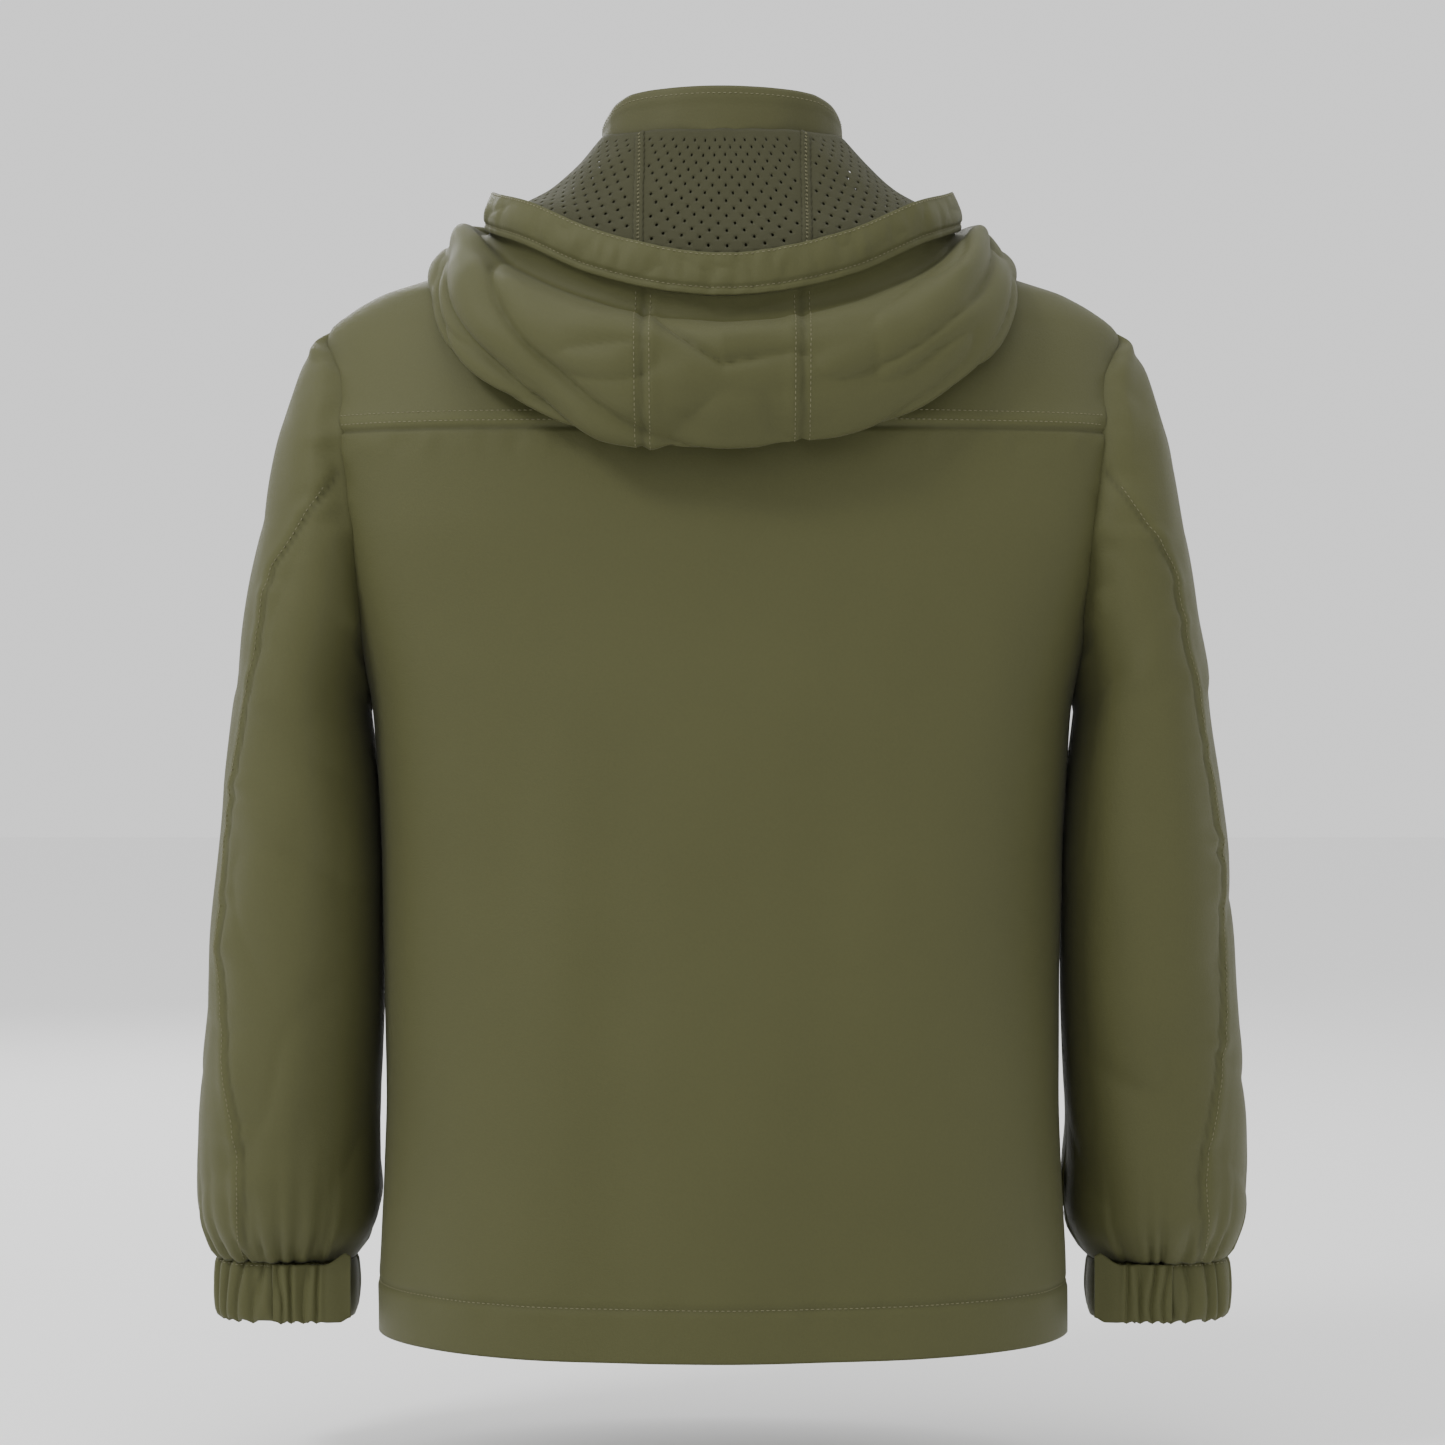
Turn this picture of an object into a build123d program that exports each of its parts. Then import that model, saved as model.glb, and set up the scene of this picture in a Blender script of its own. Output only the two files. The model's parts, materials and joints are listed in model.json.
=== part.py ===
"""A light hooded zip jacket, worn shape, arms hanging and hood folded down on the back.

Millimetres, +Z up, the wearer faces -Y. The origin is the centre of the neck opening, level with the collar's base.
Every fabric piece is a thin closed shell cut from three lofted forms: the trunk, the sleeve and the folded hood.
"""

import os
from math import cos, radians, sin

from build123d import *

# ---- driving dimensions -------------------------------------------------------------------------------------------
CLOTH = 2.0  # thickness of the trunk and sleeve shells, cloth with its seam allowances
HOOD_CLOTH = 1.6
GAP = 0.4  # clearance between pieces that only lie on each other

# Trunk, from the hem up: height, half width, depth to the back, fullness of the quarter curves, the share of each
# quarter left open for the arm, and how much wider the wall is measured sideways where the shoulder slopes.
HEM_Z, YOKE_Z = -703.0, -137.0
LEVEL_STEP = -HEM_Z / 20
SIDE_Y = 4.0  # the side and shoulder seams lie in this plane
NECK_HALF, NECK_BACK_Y, NECK_FULL = 83.0, 69.0, 0.56
TRUNK = [
    (HEM_Z, 219.0, 140.0, 0.62, 0.0, 1.0),
    (-560.0, 214.0, 134.0, 0.64, 0.0, 1.0),
    (-400.0, 216.0, 131.0, 0.69, 0.0, 1.0),
    (-304.0, 222.0, 129.5, 0.75, 0.0, 1.0),
    (-290.0, 225.5, 129.0, 0.76, 0.08, 1.0),
    (-250.0, 236.0, 126.5, 0.78, 0.24, 1.0),
    (-200.0, 250.0, 124.0, 0.80, 0.33, 1.0),
    (YOKE_Z, 262.0, 116.0, 0.76, 0.33, 1.0),
    (-100.0, 256.0, 108.0, 0.62, 0.24, 1.2),
    (-68.0, 247.0, 98.0, 0.46, 0.04, 2.0),
    (-30.0, 166.0, 82.0, 0.48, 0.0, 2.2),
    (0.0, NECK_HALF, NECK_BACK_Y, NECK_FULL, 0.0, 1.6),
]

# Neck and stand collar.
FRONT_EDGE_Y = -80.0
COLLAR_TOP_HALF, COLLAR_TOP_BACK_Y = 74.0, 63.0
COLLAR_FRONT_H, COLLAR_BACK_H = 58.0, 80.0
COLLAR_LAYER = 1.6
COLLAR_EDGE = [(-110.0, 57.0), (FRONT_EDGE_Y, COLLAR_FRONT_H), (4.0, 64.0), (42.0, 76.0), (90.0, 81.0)]

# The front edge is one straight line from the hem to the collar, so that the zip is straight.
FRONT_HEM_Y, FRONT_TOP_Y = -146.0, FRONT_EDGE_Y

# Hem and zip.
HEM_DEPTH = 32.0
ZIP_GAP = 13.0
ZIP_END = 10.0  # from the hem and from the collar's edge to the chain
TAPE_IN_X, TAPE_W, TAPE_T = 2.0, 15.0, 1.2
TOOTH_PITCH, TOOTH_L, TOOTH_REACH, TOOTH_SLOT, TOOTH_T = 6.0, 2.8, 2.2, 1.6, 2.2
SPINE_OUT = 4.6
SLIDER_L, SLIDER_W, SLIDER_WALL, WEB_T = 14.0, 11.0, 1.2, 0.8
SLIDER_CLEAR = 0.3
EAR_X, EAR_T, EYE_R, PIN_Y = 2.9, 1.2, 1.9, 3.0
PIN_R, PIN_CLEARANCE = 0.9, 0.06
PULL_L, PULL_W, PULL_T = 32.0, 7.0, 1.2
PULL_INSET = 0.05  # of the tag's outer face from the eye's
PULL_SLOT_W, PULL_SLOT_L = 3.0, 12.0
STOP_L, STOP_RISE = 3.0, 0.9

# Hand pockets.
POCKET_X, POCKET_TOP_Z, POCKET_L = 148.0, -425.0, 155.0
POCKET_GAP, WELT_W, WELT_T, WELT_LIFT = 11.0, 9.0, 1.2, 0.8
POCKET_ZIP_SCALE, POCKET_ZIP_DEPTH, POCKET_TAPE_REACH = 0.8, 1.3, 10.0
SLIT_DEPTH = 9.0
BAG_IN, BAG_DROP, BAG_T, BAG_INSET, BAG_DEPTH = 95.0, 45.0, 1.2, 5.4, 11.0

# Sleeves: height, side next to the trunk, outer side, half depth, middle in Y, and how far the top sleeve runs
# round the inner quarters before the under sleeve begins.
ELBOW_Z, ELBOW_SPAN, WRIST_Z = -400.0, 96.0, -662.0
SLEEVE_FULL, SEAM_SHARE = 0.58, 0.02
SLEEVE = [
    (-70.0, 239.5, 255.5, 12.0, 5.0, 0.04),
    (-100.0, 214.0, 270.0, 40.0, 7.0, 0.02),
    (YOKE_Z, 206.0, 281.0, 64.0, 8.0, 0.03),
    (-200.0, 211.0, 293.0, 78.0, 9.0, 0.30),
    (-250.0, 217.0, 301.0, 82.0, 8.0, 0.54),
    (-290.0, 225.0, 308.0, 84.0, 8.0, 0.84),
    (-304.0, 225.5, 309.0, 84.0, 8.0, 0.92),
    (-352.0, 222.0, 315.0, 81.0, 6.0, 0.50),
    (-448.0, 219.0, 325.0, 77.0, 1.0, 0.20),
    (-534.0, 218.5, 332.0, 70.0, -6.0, 0.20),
    (-600.0, 222.0, 335.0, 63.0, -13.0, 0.20),
    (-640.0, 227.0, 331.0, 54.0, -18.0, 0.20),
    (WRIST_Z, 235.0, 326.0, 40.0, -21.0, 0.20),
]
CAP_Z, UNDER_Z = HEM_Z + 18 * LEVEL_STEP, HEM_Z + 11 * LEVEL_STEP  # the top of the cap, and of the under sleeve

# Cuffs: an elastic band in a casing, and a hook-and-loop tab across the front.
CUFF_X, CUFF_Y, CUFF_HALF_X, CUFF_HALF_Y, CUFF_H = 281.0, -21.0, 45.0, 37.0, 37.0
CUFF_FULL = 0.56
CASING_SKIN, CASING_FOLD, ELASTIC_T, ELASTIC_H = 1.0, 2.0, 1.6, 28.0
LOOP_T, HOOK_T, TAB_T, TAB_H, PATCH_H, PATCH_SHORT = 0.9, 0.9, 1.4, 26.0, 20.0, 8.0
TAB_REACH, TAB_ROOT, TAB_TURN = 42.0, 4.0, 6.0  # the tab's ends from the cuff's middle, towards the trunk and away

# Folded hood: profiles (distance from the axis, height) at five turns from the middle of the back.
HOOD_AXIS_Y = 20.0
HOOD_PANEL_HALF = 48.0  # seams of the middle panel
HOOD_STEPS = 16  # sections on each side of the middle
HOOD_END_TURN = 122.0
HOOD_SHELL = [
    (0, (115, -66, 114, -78, 125, -81, 140, -98, 144, -120, 129, -154, 112, -142, 98, -100, 88, -76)),
    (40, (125, -50, 124, -62, 139, -64, 157, -80, 163, -102, 150, -136, 134, -128, 114, -82, 102, -60)),
    (65, (137, -27, 138, -38, 152, -36, 172, -46, 184, -66, 182, -90, 168, -84, 142, -50, 124, -33)),
    (80, (144, -15, 146, -21, 157, -16, 171, -22, 182, -36, 182, -48, 171, -36, 146, -24, 128, -13)),
    (95, (148, -9, 154, -8, 162, -4, 170, -7, 176, -16, 174, -24, 160, -19, 142, -12, 128, -8)),
    (HOOD_END_TURN, (123, -11, 128, -9, 134, -7, 139, -10, 142, -15, 140, -20, 131, -16, 122, -12, 116, -9)),
]
HOOD_BAND = [
    (0, (109, -36, 112, -50, 114, -62)),
    (40, (119, -19, 122, -33, 123, -46)),
    (65, (132, 4, 135, -9, 136, -22)),
    (80, (138, 12, 142, 0, 143, -12)),
    (95, (143, 19, 147, 8, 148, -4)),
    (HOOD_END_TURN, (119, 10, 123, 2, 124, -6)),
]
HOOD_LINING = [
    (0, (48, 51, 62, 24, 81, -6, 98, -32, 105, -52)),
    (40, (58, 51, 73, 26, 91, 0, 108, -20, 115, -36)),
    (65, (70, 51, 86, 30, 103, 10, 119, -3, 128, -13)),
    (80, (75, 52, 90, 33, 107, 16, 124, 5, 134, -4)),
    (95, (79, 53, 94, 36, 110, 22, 128, 12, 139, 5)),
    (HOOD_END_TURN, (93, 50, 99, 38, 105, 25, 112, 13, 117, 3)),
]
HOOD_BASE = [
    (0, (85, -65, 80, -50, 72, -26, 62, 0, 52, 22)),
    (40, (98, -52, 90, -40, 80, -20, 70, 2, 60, 22)),
    (65, (117, -28, 107, -18, 96, -6, 84, 8, 74, 24)),
    (80, (122, -11, 112, -6, 101, 1, 90, 10, 79, 24)),
    (95, (124, -4, 115, 0, 105, 5, 94, 12, 83, 25)),
    (HOOD_END_TURN, (114, -5, 110, -1, 105, 5, 100, 13, 96, 24)),
]
BAND_T, BAND_SKIN, HOOD_ELASTIC_T = 3.6, 0.8, 1.2
LINING_T = 1.0

# Small pieces at the neck.
LOOP_HALF, LOOP_DROP, LOOP_R, LOOP_Y = 16.0, 16.0, 1.2, 61.2
NECK_TAPE_HALF_H, NECK_TAPE_T, NECK_TAPE_IN = 6.0, 0.8, 4.4

FAR = 900.0  # larger than the jacket, for cutting blocks

# ---- forms --------------------------------------------------------------------------------------------------------
def block(x0, x1, y0, y1, z0, z1):
    """A box between two corners."""
    with BuildPart(Location(((x0 + x1) / 2, (y0 + y1) / 2, (z0 + z1) / 2))) as made:
        Box(x1 - x0, y1 - y0, z1 - z0)
    return made.part


def kept(part, *cuts):
    """The share of a part inside a block, with further blocks taken away."""
    inside, *away = cuts
    with BuildPart() as made:
        add(part)
        add(inside, mode=Mode.INTERSECT)
        for cut in away:
            add(cut, mode=Mode.SUBTRACT)
    return made.part


def between(outer, inner):
    """The layer between two forms."""
    with BuildPart() as made:
        add(outer)
        add(inner, mode=Mode.SUBTRACT)
    return made.part


def front_y(z):
    """Y of the straight front edge at height z."""
    share = (z - HEM_Z) / (COLLAR_FRONT_H - HEM_Z)
    return FRONT_HEM_Y + share * (FRONT_TOP_Y - FRONT_HEM_Y)


def level_at(table, z):
    """The table's row at height z, in proportion between its neighbours."""
    rows = sorted(table)
    if z <= rows[0][0]:
        return (z, *rows[0][1:])
    for low, high in zip(rows, rows[1:]):
        if z <= high[0]:
            share = (z - low[0]) / (high[0] - low[0])
            return tuple(a + share * (b - a) for a, b in zip(low, high))
    return (z, *rows[-1][1:])


def even_levels(table, low, high):
    """Rows at even steps, counted from the hem, close enough for ruled lofts."""
    count = round((high - low) / LEVEL_STEP)
    return [level_at(table, high - LEVEL_STEP * i) for i in range(count + 1)]


def blossom(points, *shares):
    """De Casteljau's construction with one share per step."""
    for t in shares:
        points = [(p[0] + t * (q[0] - p[0]), p[1] + t * (q[1] - p[1])) for p, q in zip(points, points[1:])]
    return points[0]


def quarter(middle_x, side_y, half, depth, full, start=0.0, end=1.0):
    """Control points of a share of the quarter curve from the side to the middle."""
    x, y = middle_x + half, side_y + depth
    whole = [(x, side_y), (x, side_y + full * depth), (middle_x + full * half, y), (middle_x, y)]
    steps = ((start, start, start), (start, start, end), (start, end, end), (end, end, end))
    return [blossom(whole, *step) for step in steps]


def strip_section(outer, inner):
    """A thin closed face between two runs of curves."""
    with BuildSketch() as drawn:
        with BuildLine():
            for curve in outer:
                Bezier(*curve)
            Line(outer[-1][-1], inner[-1][-1])
            for curve in reversed(inner):
                Bezier(*reversed(curve))
            Line(inner[0][0], outer[0][0])
        make_face()
    return drawn.sketch


def outline(middle_x, side_y, half, front, back, full):
    """A closed face of four quarter curves."""
    with BuildSketch() as drawn:
        with BuildLine():
            for way, y in ((1, back), (1, front), (-1, back), (-1, front)):
                Bezier(*quarter(middle_x, side_y, way * half, y - side_y, full))
        make_face()
    return drawn.sketch


def trunk_sheet(side, near, far):
    """The trunk's back (side 1) or its front left quarter (side -1), between two depths under its surface."""
    level = SIDE_Y + side * GAP / 2
    with BuildPart() as sheet:
        for z, half, back, full, opened, slope in even_levels(TRUNK, HEM_Z, 0):
            runs = []
            for inset in (near, far):
                reach = half - slope * inset
                depth = (back if side == 1 else -front_y(z)) - inset - side * level
                run = [quarter(0, level, reach, side * depth, full, opened)]
                if side == 1:
                    run.append(quarter(0, level, -reach, depth, full, opened)[::-1])
                runs.append(run)
            with BuildSketch(Plane.XY.offset(z)):
                add(strip_section(*runs))
        loft(ruled=True)
        add(block(-FAR, FAR, *sorted((level, side * FAR)), HEM_Z, FAR), mode=Mode.INTERSECT)
    return sheet.part


def sleeve_sheet(under, high):
    """The left sleeve's under or top side, from a height down to the wrist."""
    with BuildPart() as sheet:
        for z, inner, outer, depth, middle_y, share in even_levels(SLEEVE, HEM_Z + LEVEL_STEP, high):
            middle_x, half = (inner + outer) / 2, (outer - inner) / 2
            runs = []
            for inset in (0, CLOTH):
                h, d = half - inset, depth - inset
                if under:
                    ends = [quarter(middle_x, middle_y, -h, way * d, SLEEVE_FULL, 0, 1 - share - SEAM_SHARE)
                            for way in (1, -1)]
                    runs.append([ends[0][::-1], ends[1]])
                else:
                    ends = [quarter(middle_x, middle_y, -h, way * d, SLEEVE_FULL, 1 - share) for way in (1, -1)]
                    sides = [quarter(middle_x, middle_y, h, way * d, SLEEVE_FULL) for way in (1, -1)]
                    runs.append([ends[0], sides[0][::-1], sides[1], ends[1][::-1]])
            with BuildSketch(Plane.XY.offset(z)):
                add(strip_section(*runs))
        loft(ruled=True)
        add(block(0, FAR, -FAR, FAR, WRIST_Z, FAR), mode=Mode.INTERSECT)
    return sheet.part


def offset_profile(points, distance):
    """The profile moved sideways by distance, to its left as it runs."""
    moved = []
    for i, (r, z) in enumerate(points):
        r0, z0 = points[max(i - 1, 0)]
        r1, z1 = points[min(i + 1, len(points) - 1)]
        length = ((r1 - r0) ** 2 + (z1 - z0) ** 2) ** 0.5
        moved.append((r - distance * (z1 - z0) / length, z + distance * (r1 - r0) / length))
    return moved


def hood_sheet(profiles, low, high):
    """A sheet that runs round the neck from one front end to the other, between two offsets of its profiles."""
    flat = [(turn, *numbers) for turn, numbers in profiles]
    with BuildPart() as sheet:
        for i in range(-HOOD_STEPS, HOOD_STEPS + 1):
            turn = i * HOOD_END_TURN / HOOD_STEPS
            numbers = level_at(flat, abs(turn))[1:]
            points = list(zip(numbers[::2], numbers[1::2]))
            out = (sin(radians(turn)), cos(radians(turn)), 0)
            across = Plane(origin=(0, HOOD_AXIS_Y, 0), x_dir=out, z_dir=(out[1], -out[0], 0))
            one, other = offset_profile(points, low), offset_profile(points, high)
            with BuildSketch(across):
                with BuildLine():
                    Spline(*one)
                    Line(one[-1], other[-1])
                    Spline(*reversed(other))
                    Line(other[0], one[0])
                make_face()
        loft(ruled=True)
    return sheet.part


# ---- cutting and writing ------------------------------------------------------------------------------------------
def write(part, name):
    part.label = name
    export_step(part, f"parts/{name}.step")


def write_pair(part, name):
    """The wearer's left piece, and its mirror image."""
    write(part, name + "_left")
    write(mirror(part, about=Plane.YZ), name + "_right")


os.makedirs("parts", exist_ok=True)

# ---- trunk --------------------------------------------------------------------------------------------------------
LAYER_IN = CLOTH + GAP
LAYER_OUT = LAYER_IN + TAPE_T
everything = block(-FAR, FAR, -FAR, FAR, -FAR, FAR)
back_sheet, front_sheet = trunk_sheet(1, 0, CLOTH), trunk_sheet(-1, 0, CLOTH)
write(kept(back_sheet, block(-FAR, FAR, -FAR, FAR, HEM_Z, YOKE_Z - GAP / 2)), "back_panel")
write(kept(back_sheet, block(-FAR, FAR, -FAR, FAR, YOKE_Z + GAP / 2, FAR)), "back_yoke")

# The pocket's plane goes through the skin's points at the ends of its slit.
slit_heights = (POCKET_TOP_Z, POCKET_TOP_Z - POCKET_L / 2, POCKET_TOP_Z - POCKET_L)
slit_hits = [front_sheet.find_intersection_points(Axis((POCKET_X, 0, z), (0, -1, 0))) for z in slit_heights]
(slit_top, _), (slit_mid, slit_normal), (slit_foot, _) = (min(hits, key=lambda hit: hit[0].Y) for hits in slit_hits)
slit_up = (slit_top - slit_foot).normalized()
slit_across = slit_up.cross(slit_normal).normalized()
pocket_plane = Plane(origin=slit_mid, x_dir=slit_across, z_dir=slit_across.cross(slit_up))
with BuildPart(pocket_plane) as slit:
    Box(POCKET_GAP, POCKET_L, 2 * SLIT_DEPTH)

front_zone = block(ZIP_GAP / 2, FAR, -FAR, FAR, HEM_Z, FAR)
write_pair(kept(front_sheet, front_zone, slit.part), "front_panel")

# One layer behind the shell gives the folded hem and the front tapes.
back_layer, front_layer = trunk_sheet(1, LAYER_IN, LAYER_OUT), trunk_sheet(-1, LAYER_IN, LAYER_OUT)
tape_edge = TAPE_IN_X + TAPE_W
write(kept(back_layer, block(-FAR, FAR, -FAR, FAR, HEM_Z, HEM_Z + HEM_DEPTH)), "hem_facing_back")
write_pair(kept(front_layer, block(tape_edge + GAP, FAR, -FAR, FAR, HEM_Z, HEM_Z + HEM_DEPTH)), "hem_facing")

# ---- collar -------------------------------------------------------------------------------------------------------
def collar_form(inset):
    """The stand collar as a full solid, its surface moved in by inset and its top still level."""
    with BuildPart() as form:
        for z, half, back in ((GAP, NECK_HALF, NECK_BACK_Y), (COLLAR_BACK_H + GAP, COLLAR_TOP_HALF, COLLAR_TOP_BACK_Y)):
            with BuildSketch(Plane.XY.offset(z)):
                add(outline(0, SIDE_Y, half - inset, front_y(z) + inset, back - inset, NECK_FULL))
        loft()
    return form.part


with BuildPart() as above_collar:
    with BuildSketch(Plane.YZ):
        with BuildLine():
            edge = Spline(*COLLAR_EDGE)
            Polyline(edge @ 1, (COLLAR_EDGE[-1][0], FAR), (COLLAR_EDGE[0][0], FAR), edge @ 0)
        make_face()
    extrude(amount=FAR, both=True)

collar_skin = between(collar_form(0), collar_form(COLLAR_LAYER))
zip_slot = block(-ZIP_GAP / 2, ZIP_GAP / 2, -FAR, 0, -FAR, FAR)
write(kept(collar_skin, everything, zip_slot, above_collar.part), "collar_outer")
collar_layer = kept(between(collar_form(LAYER_IN), collar_form(LAYER_OUT)), everything, above_collar.part)
tape_slot = block(-tape_edge - GAP, tape_edge + GAP, -FAR, 0, -FAR, FAR)
write(kept(collar_layer, everything, tape_slot), "collar_facing")

tape_zone = block(TAPE_IN_X, tape_edge, -FAR, 0, HEM_Z, FAR)
with BuildPart() as zip_tape:
    add(kept(front_layer, tape_zone))
    add(kept(collar_layer, tape_zone))
write_pair(zip_tape.part, "zip_tape")

with BuildPart() as neck_tape:
    with BuildSketch(Plane.XY.offset(-NECK_TAPE_HALF_H)):
        for inset, mode in ((NECK_TAPE_IN, Mode.ADD), (NECK_TAPE_IN + NECK_TAPE_T, Mode.SUBTRACT)):
            add(outline(0, SIDE_Y, NECK_HALF - inset, front_y(0) + inset, NECK_BACK_Y - inset, NECK_FULL), mode=mode)
    extrude(amount=2 * NECK_TAPE_HALF_H)
    add(block(-FAR, FAR, SIDE_Y, FAR, -FAR, FAR), mode=Mode.INTERSECT)
write(neck_tape.part, "neck_tape")

with BuildPart() as hanger_loop:
    with BuildLine() as path:
        ThreePointArc((-LOOP_HALF, LOOP_Y, 0), (0, LOOP_Y, -LOOP_DROP), (LOOP_HALF, LOOP_Y, 0))
    with BuildSketch(Plane(origin=path.line @ 0, z_dir=path.line % 0)):
        Circle(LOOP_R)
    sweep()
write(hanger_loop.part, "hanger_loop")

# ---- zips ---------------------------------------------------------------------------------------------------------
def on(plane, x, y, z):
    """A copy of the plane with its origin moved in its own directions."""
    return Plane(origin=plane.from_local_coords((x, y, z)), x_dir=plane.x_dir, z_dir=plane.z_dir)


def bar(plane, x0, x1, y0, y1, z0, z1):
    """A box between two corners, in the plane's own directions."""
    with BuildPart(on(plane, (x0 + x1) / 2, (y0 + y1) / 2, (z0 + z1) / 2)) as made:
        Box(x1 - x0, y1 - y0, z1 - z0)
    return made.part


def rack(plane, length, scale):
    """One side of a zip's teeth, on the plane's +X side, from its origin up."""
    inner, root, outer = (scale * x for x in (TOOTH_SLOT / 2, TOOTH_SLOT / 2 + TOOTH_REACH, SPINE_OUT))
    points = [(outer, 0), (outer, length), (root, length)]
    for i in reversed(range(int(length / (scale * TOOTH_PITCH)))):
        low = scale * (i * TOOTH_PITCH + TOOTH_L / 2)
        high = low + scale * TOOTH_L
        points += [(root, high), (inner, high), (inner, low), (root, low)]
    points.append((root, 0))
    with BuildPart() as made:
        with BuildSketch(on(plane, 0, 0, -scale * TOOTH_T)):
            with BuildLine():
                Polyline(*points, close=True)
            make_face()
        extrude(amount=scale * TOOTH_T)
    return made.part


def slider(plane, scale):
    """Two plates joined by a web that runs in the slot between the teeth, and a pin for the pull."""
    k = scale
    half_w, half_l = k * SLIDER_W / 2, k * SLIDER_L / 2
    under = -k * (TOOTH_T + TAPE_T + 3 * SLIDER_CLEAR)
    face = k * (SLIDER_CLEAR + SLIDER_WALL)
    pin_z = face + k * (EYE_R + SLIDER_CLEAR)
    with BuildPart() as made:
        add(bar(plane, -half_w, half_w, -half_l, half_l, k * SLIDER_CLEAR, face))
        add(bar(plane, -k * WEB_T / 2, k * WEB_T / 2, -half_l, half_l, under, k * SLIDER_CLEAR))
        add(bar(plane, -half_w, half_w, -half_l, half_l, under - k * SLIDER_WALL, under))
        for x in (-EAR_X, EAR_X - EAR_T):
            add(bar(plane, k * x, k * (x + EAR_T), k * (PIN_Y - EYE_R), k * (PIN_Y + EYE_R), face, pin_z + k * 1.5))
        with Locations(on(plane, 0, k * PIN_Y, pin_z).location):
            Cylinder(k * PIN_R, k * 2 * EAR_X, rotation=(0, 90, 0))
    return made.part


def pull(plane, scale):
    """The tag on the slider's pin, hanging down the zip."""
    k = scale
    pin_z = k * (2 * SLIDER_CLEAR + SLIDER_WALL + EYE_R)
    half_eye = k * (EAR_X - EAR_T - 0.2)
    low, neck = k * (PIN_Y - PULL_L), k * (PIN_Y - 2 * EYE_R)
    top = pin_z + k * (EYE_R - PULL_INSET)  # the tag lies level with the eye's outer side, clear of a welt under it
    with BuildPart() as made:
        with Locations(on(plane, 0, k * PIN_Y, pin_z).location):
            Cylinder(k * EYE_R, 2 * half_eye, rotation=(0, 90, 0))
        add(bar(plane, -half_eye, half_eye, neck, k * PIN_Y, top - k * PULL_T, top))
        add(bar(plane, -k * PULL_W / 2, k * PULL_W / 2, low, neck, top - k * PULL_T, top))
        add(bar(plane, -k * PULL_SLOT_W / 2, k * PULL_SLOT_W / 2, low + k * 3, low + k * (3 + PULL_SLOT_L),
                top - 2 * k * PULL_T, top + k * PULL_T), mode=Mode.SUBTRACT)
        with Locations(on(plane, 0, k * PIN_Y, pin_z).location):
            Cylinder(k * (PIN_R + PIN_CLEARANCE), k * 3 * EAR_X, rotation=(0, 90, 0), mode=Mode.SUBTRACT)
    return made.part


zip_rise = Vector(0, FRONT_TOP_Y - FRONT_HEM_Y, COLLAR_FRONT_H - HEM_Z)
zip_length = zip_rise.length
zip_up = zip_rise.normalized()
zip_plane = Plane(origin=(0, FRONT_HEM_Y, HEM_Z), x_dir=(1, 0, 0), z_dir=Vector(1, 0, 0).cross(zip_up))
rack_foot = on(zip_plane, 0, ZIP_END, 0)
rack_length = zip_length - 2 * ZIP_END
write_pair(rack(rack_foot, rack_length, 1), "zip_teeth")
rest_y = zip_length - ZIP_END - SLIDER_L / 2 - GAP
rest_plane = on(zip_plane, 0, rest_y, 0)
write(slider(rest_plane, 1), "front_slider")
write(pull(rest_plane, 1), "front_pull")
stop_x = TOOTH_SLOT / 2
with BuildPart() as zip_stops:
    for x0, x1 in ((-SPINE_OUT, -stop_x), (stop_x, SPINE_OUT)):
        y = zip_length - ZIP_END + GAP / 2
        add(bar(zip_plane, x0, x1, y, y + STOP_L, -TOOTH_T, STOP_RISE))
write(zip_stops.part, "zip_stops")
box_half = SLIDER_W / 2
write(bar(zip_plane, -box_half, box_half, GAP, ZIP_END - GAP / 2, -TOOTH_T, STOP_RISE), "zip_bottom_box")

# ---- hand pockets -------------------------------------------------------------------------------------------------
K = POCKET_ZIP_SCALE
coil_plane = on(pocket_plane, 0, 0, -POCKET_ZIP_DEPTH)
coil_half = POCKET_L / 2 - STOP_L - GAP
with BuildPart() as pocket_zip:
    add(rack(on(coil_plane, 0, -coil_half, 0), 2 * coil_half, K))
    flipped = Plane(origin=on(coil_plane, 0, coil_half, 0).origin, x_dir=-coil_plane.x_dir, z_dir=coil_plane.z_dir)
    add(rack(flipped, 2 * coil_half, K))
    for way in (-1, 1):
        near, far = sorted((way * K * (TOOTH_SLOT / 2 + TOOTH_REACH), way * POCKET_TAPE_REACH))
        add(bar(coil_plane, near, far, -coil_half, coil_half, -K * (TOOTH_T + TAPE_T), -K * TOOTH_T))
        low, high = sorted((way * coil_half, way * (coil_half + STOP_L)))
        add(bar(coil_plane, -K * SPINE_OUT, K * SPINE_OUT, low, high, -K * TOOTH_T, 0))
write_pair(pocket_zip.part, "pocket_zip")

pocket_rest = on(coil_plane, 0, coil_half - K * SLIDER_L / 2 - GAP, 0)
write_pair(slider(pocket_rest, K), "pocket_slider")
write_pair(pull(pocket_rest, K), "pocket_pull")

frame_x, frame_y = POCKET_GAP / 2 + WELT_W, POCKET_L / 2 + WELT_W
with BuildPart() as pocket_welt:
    add(bar(pocket_plane, -frame_x, frame_x, -frame_y, frame_y, WELT_LIFT, WELT_LIFT + WELT_T))
    add(slit.part, mode=Mode.SUBTRACT)
write_pair(pocket_welt.part, "pocket_welt")

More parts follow.
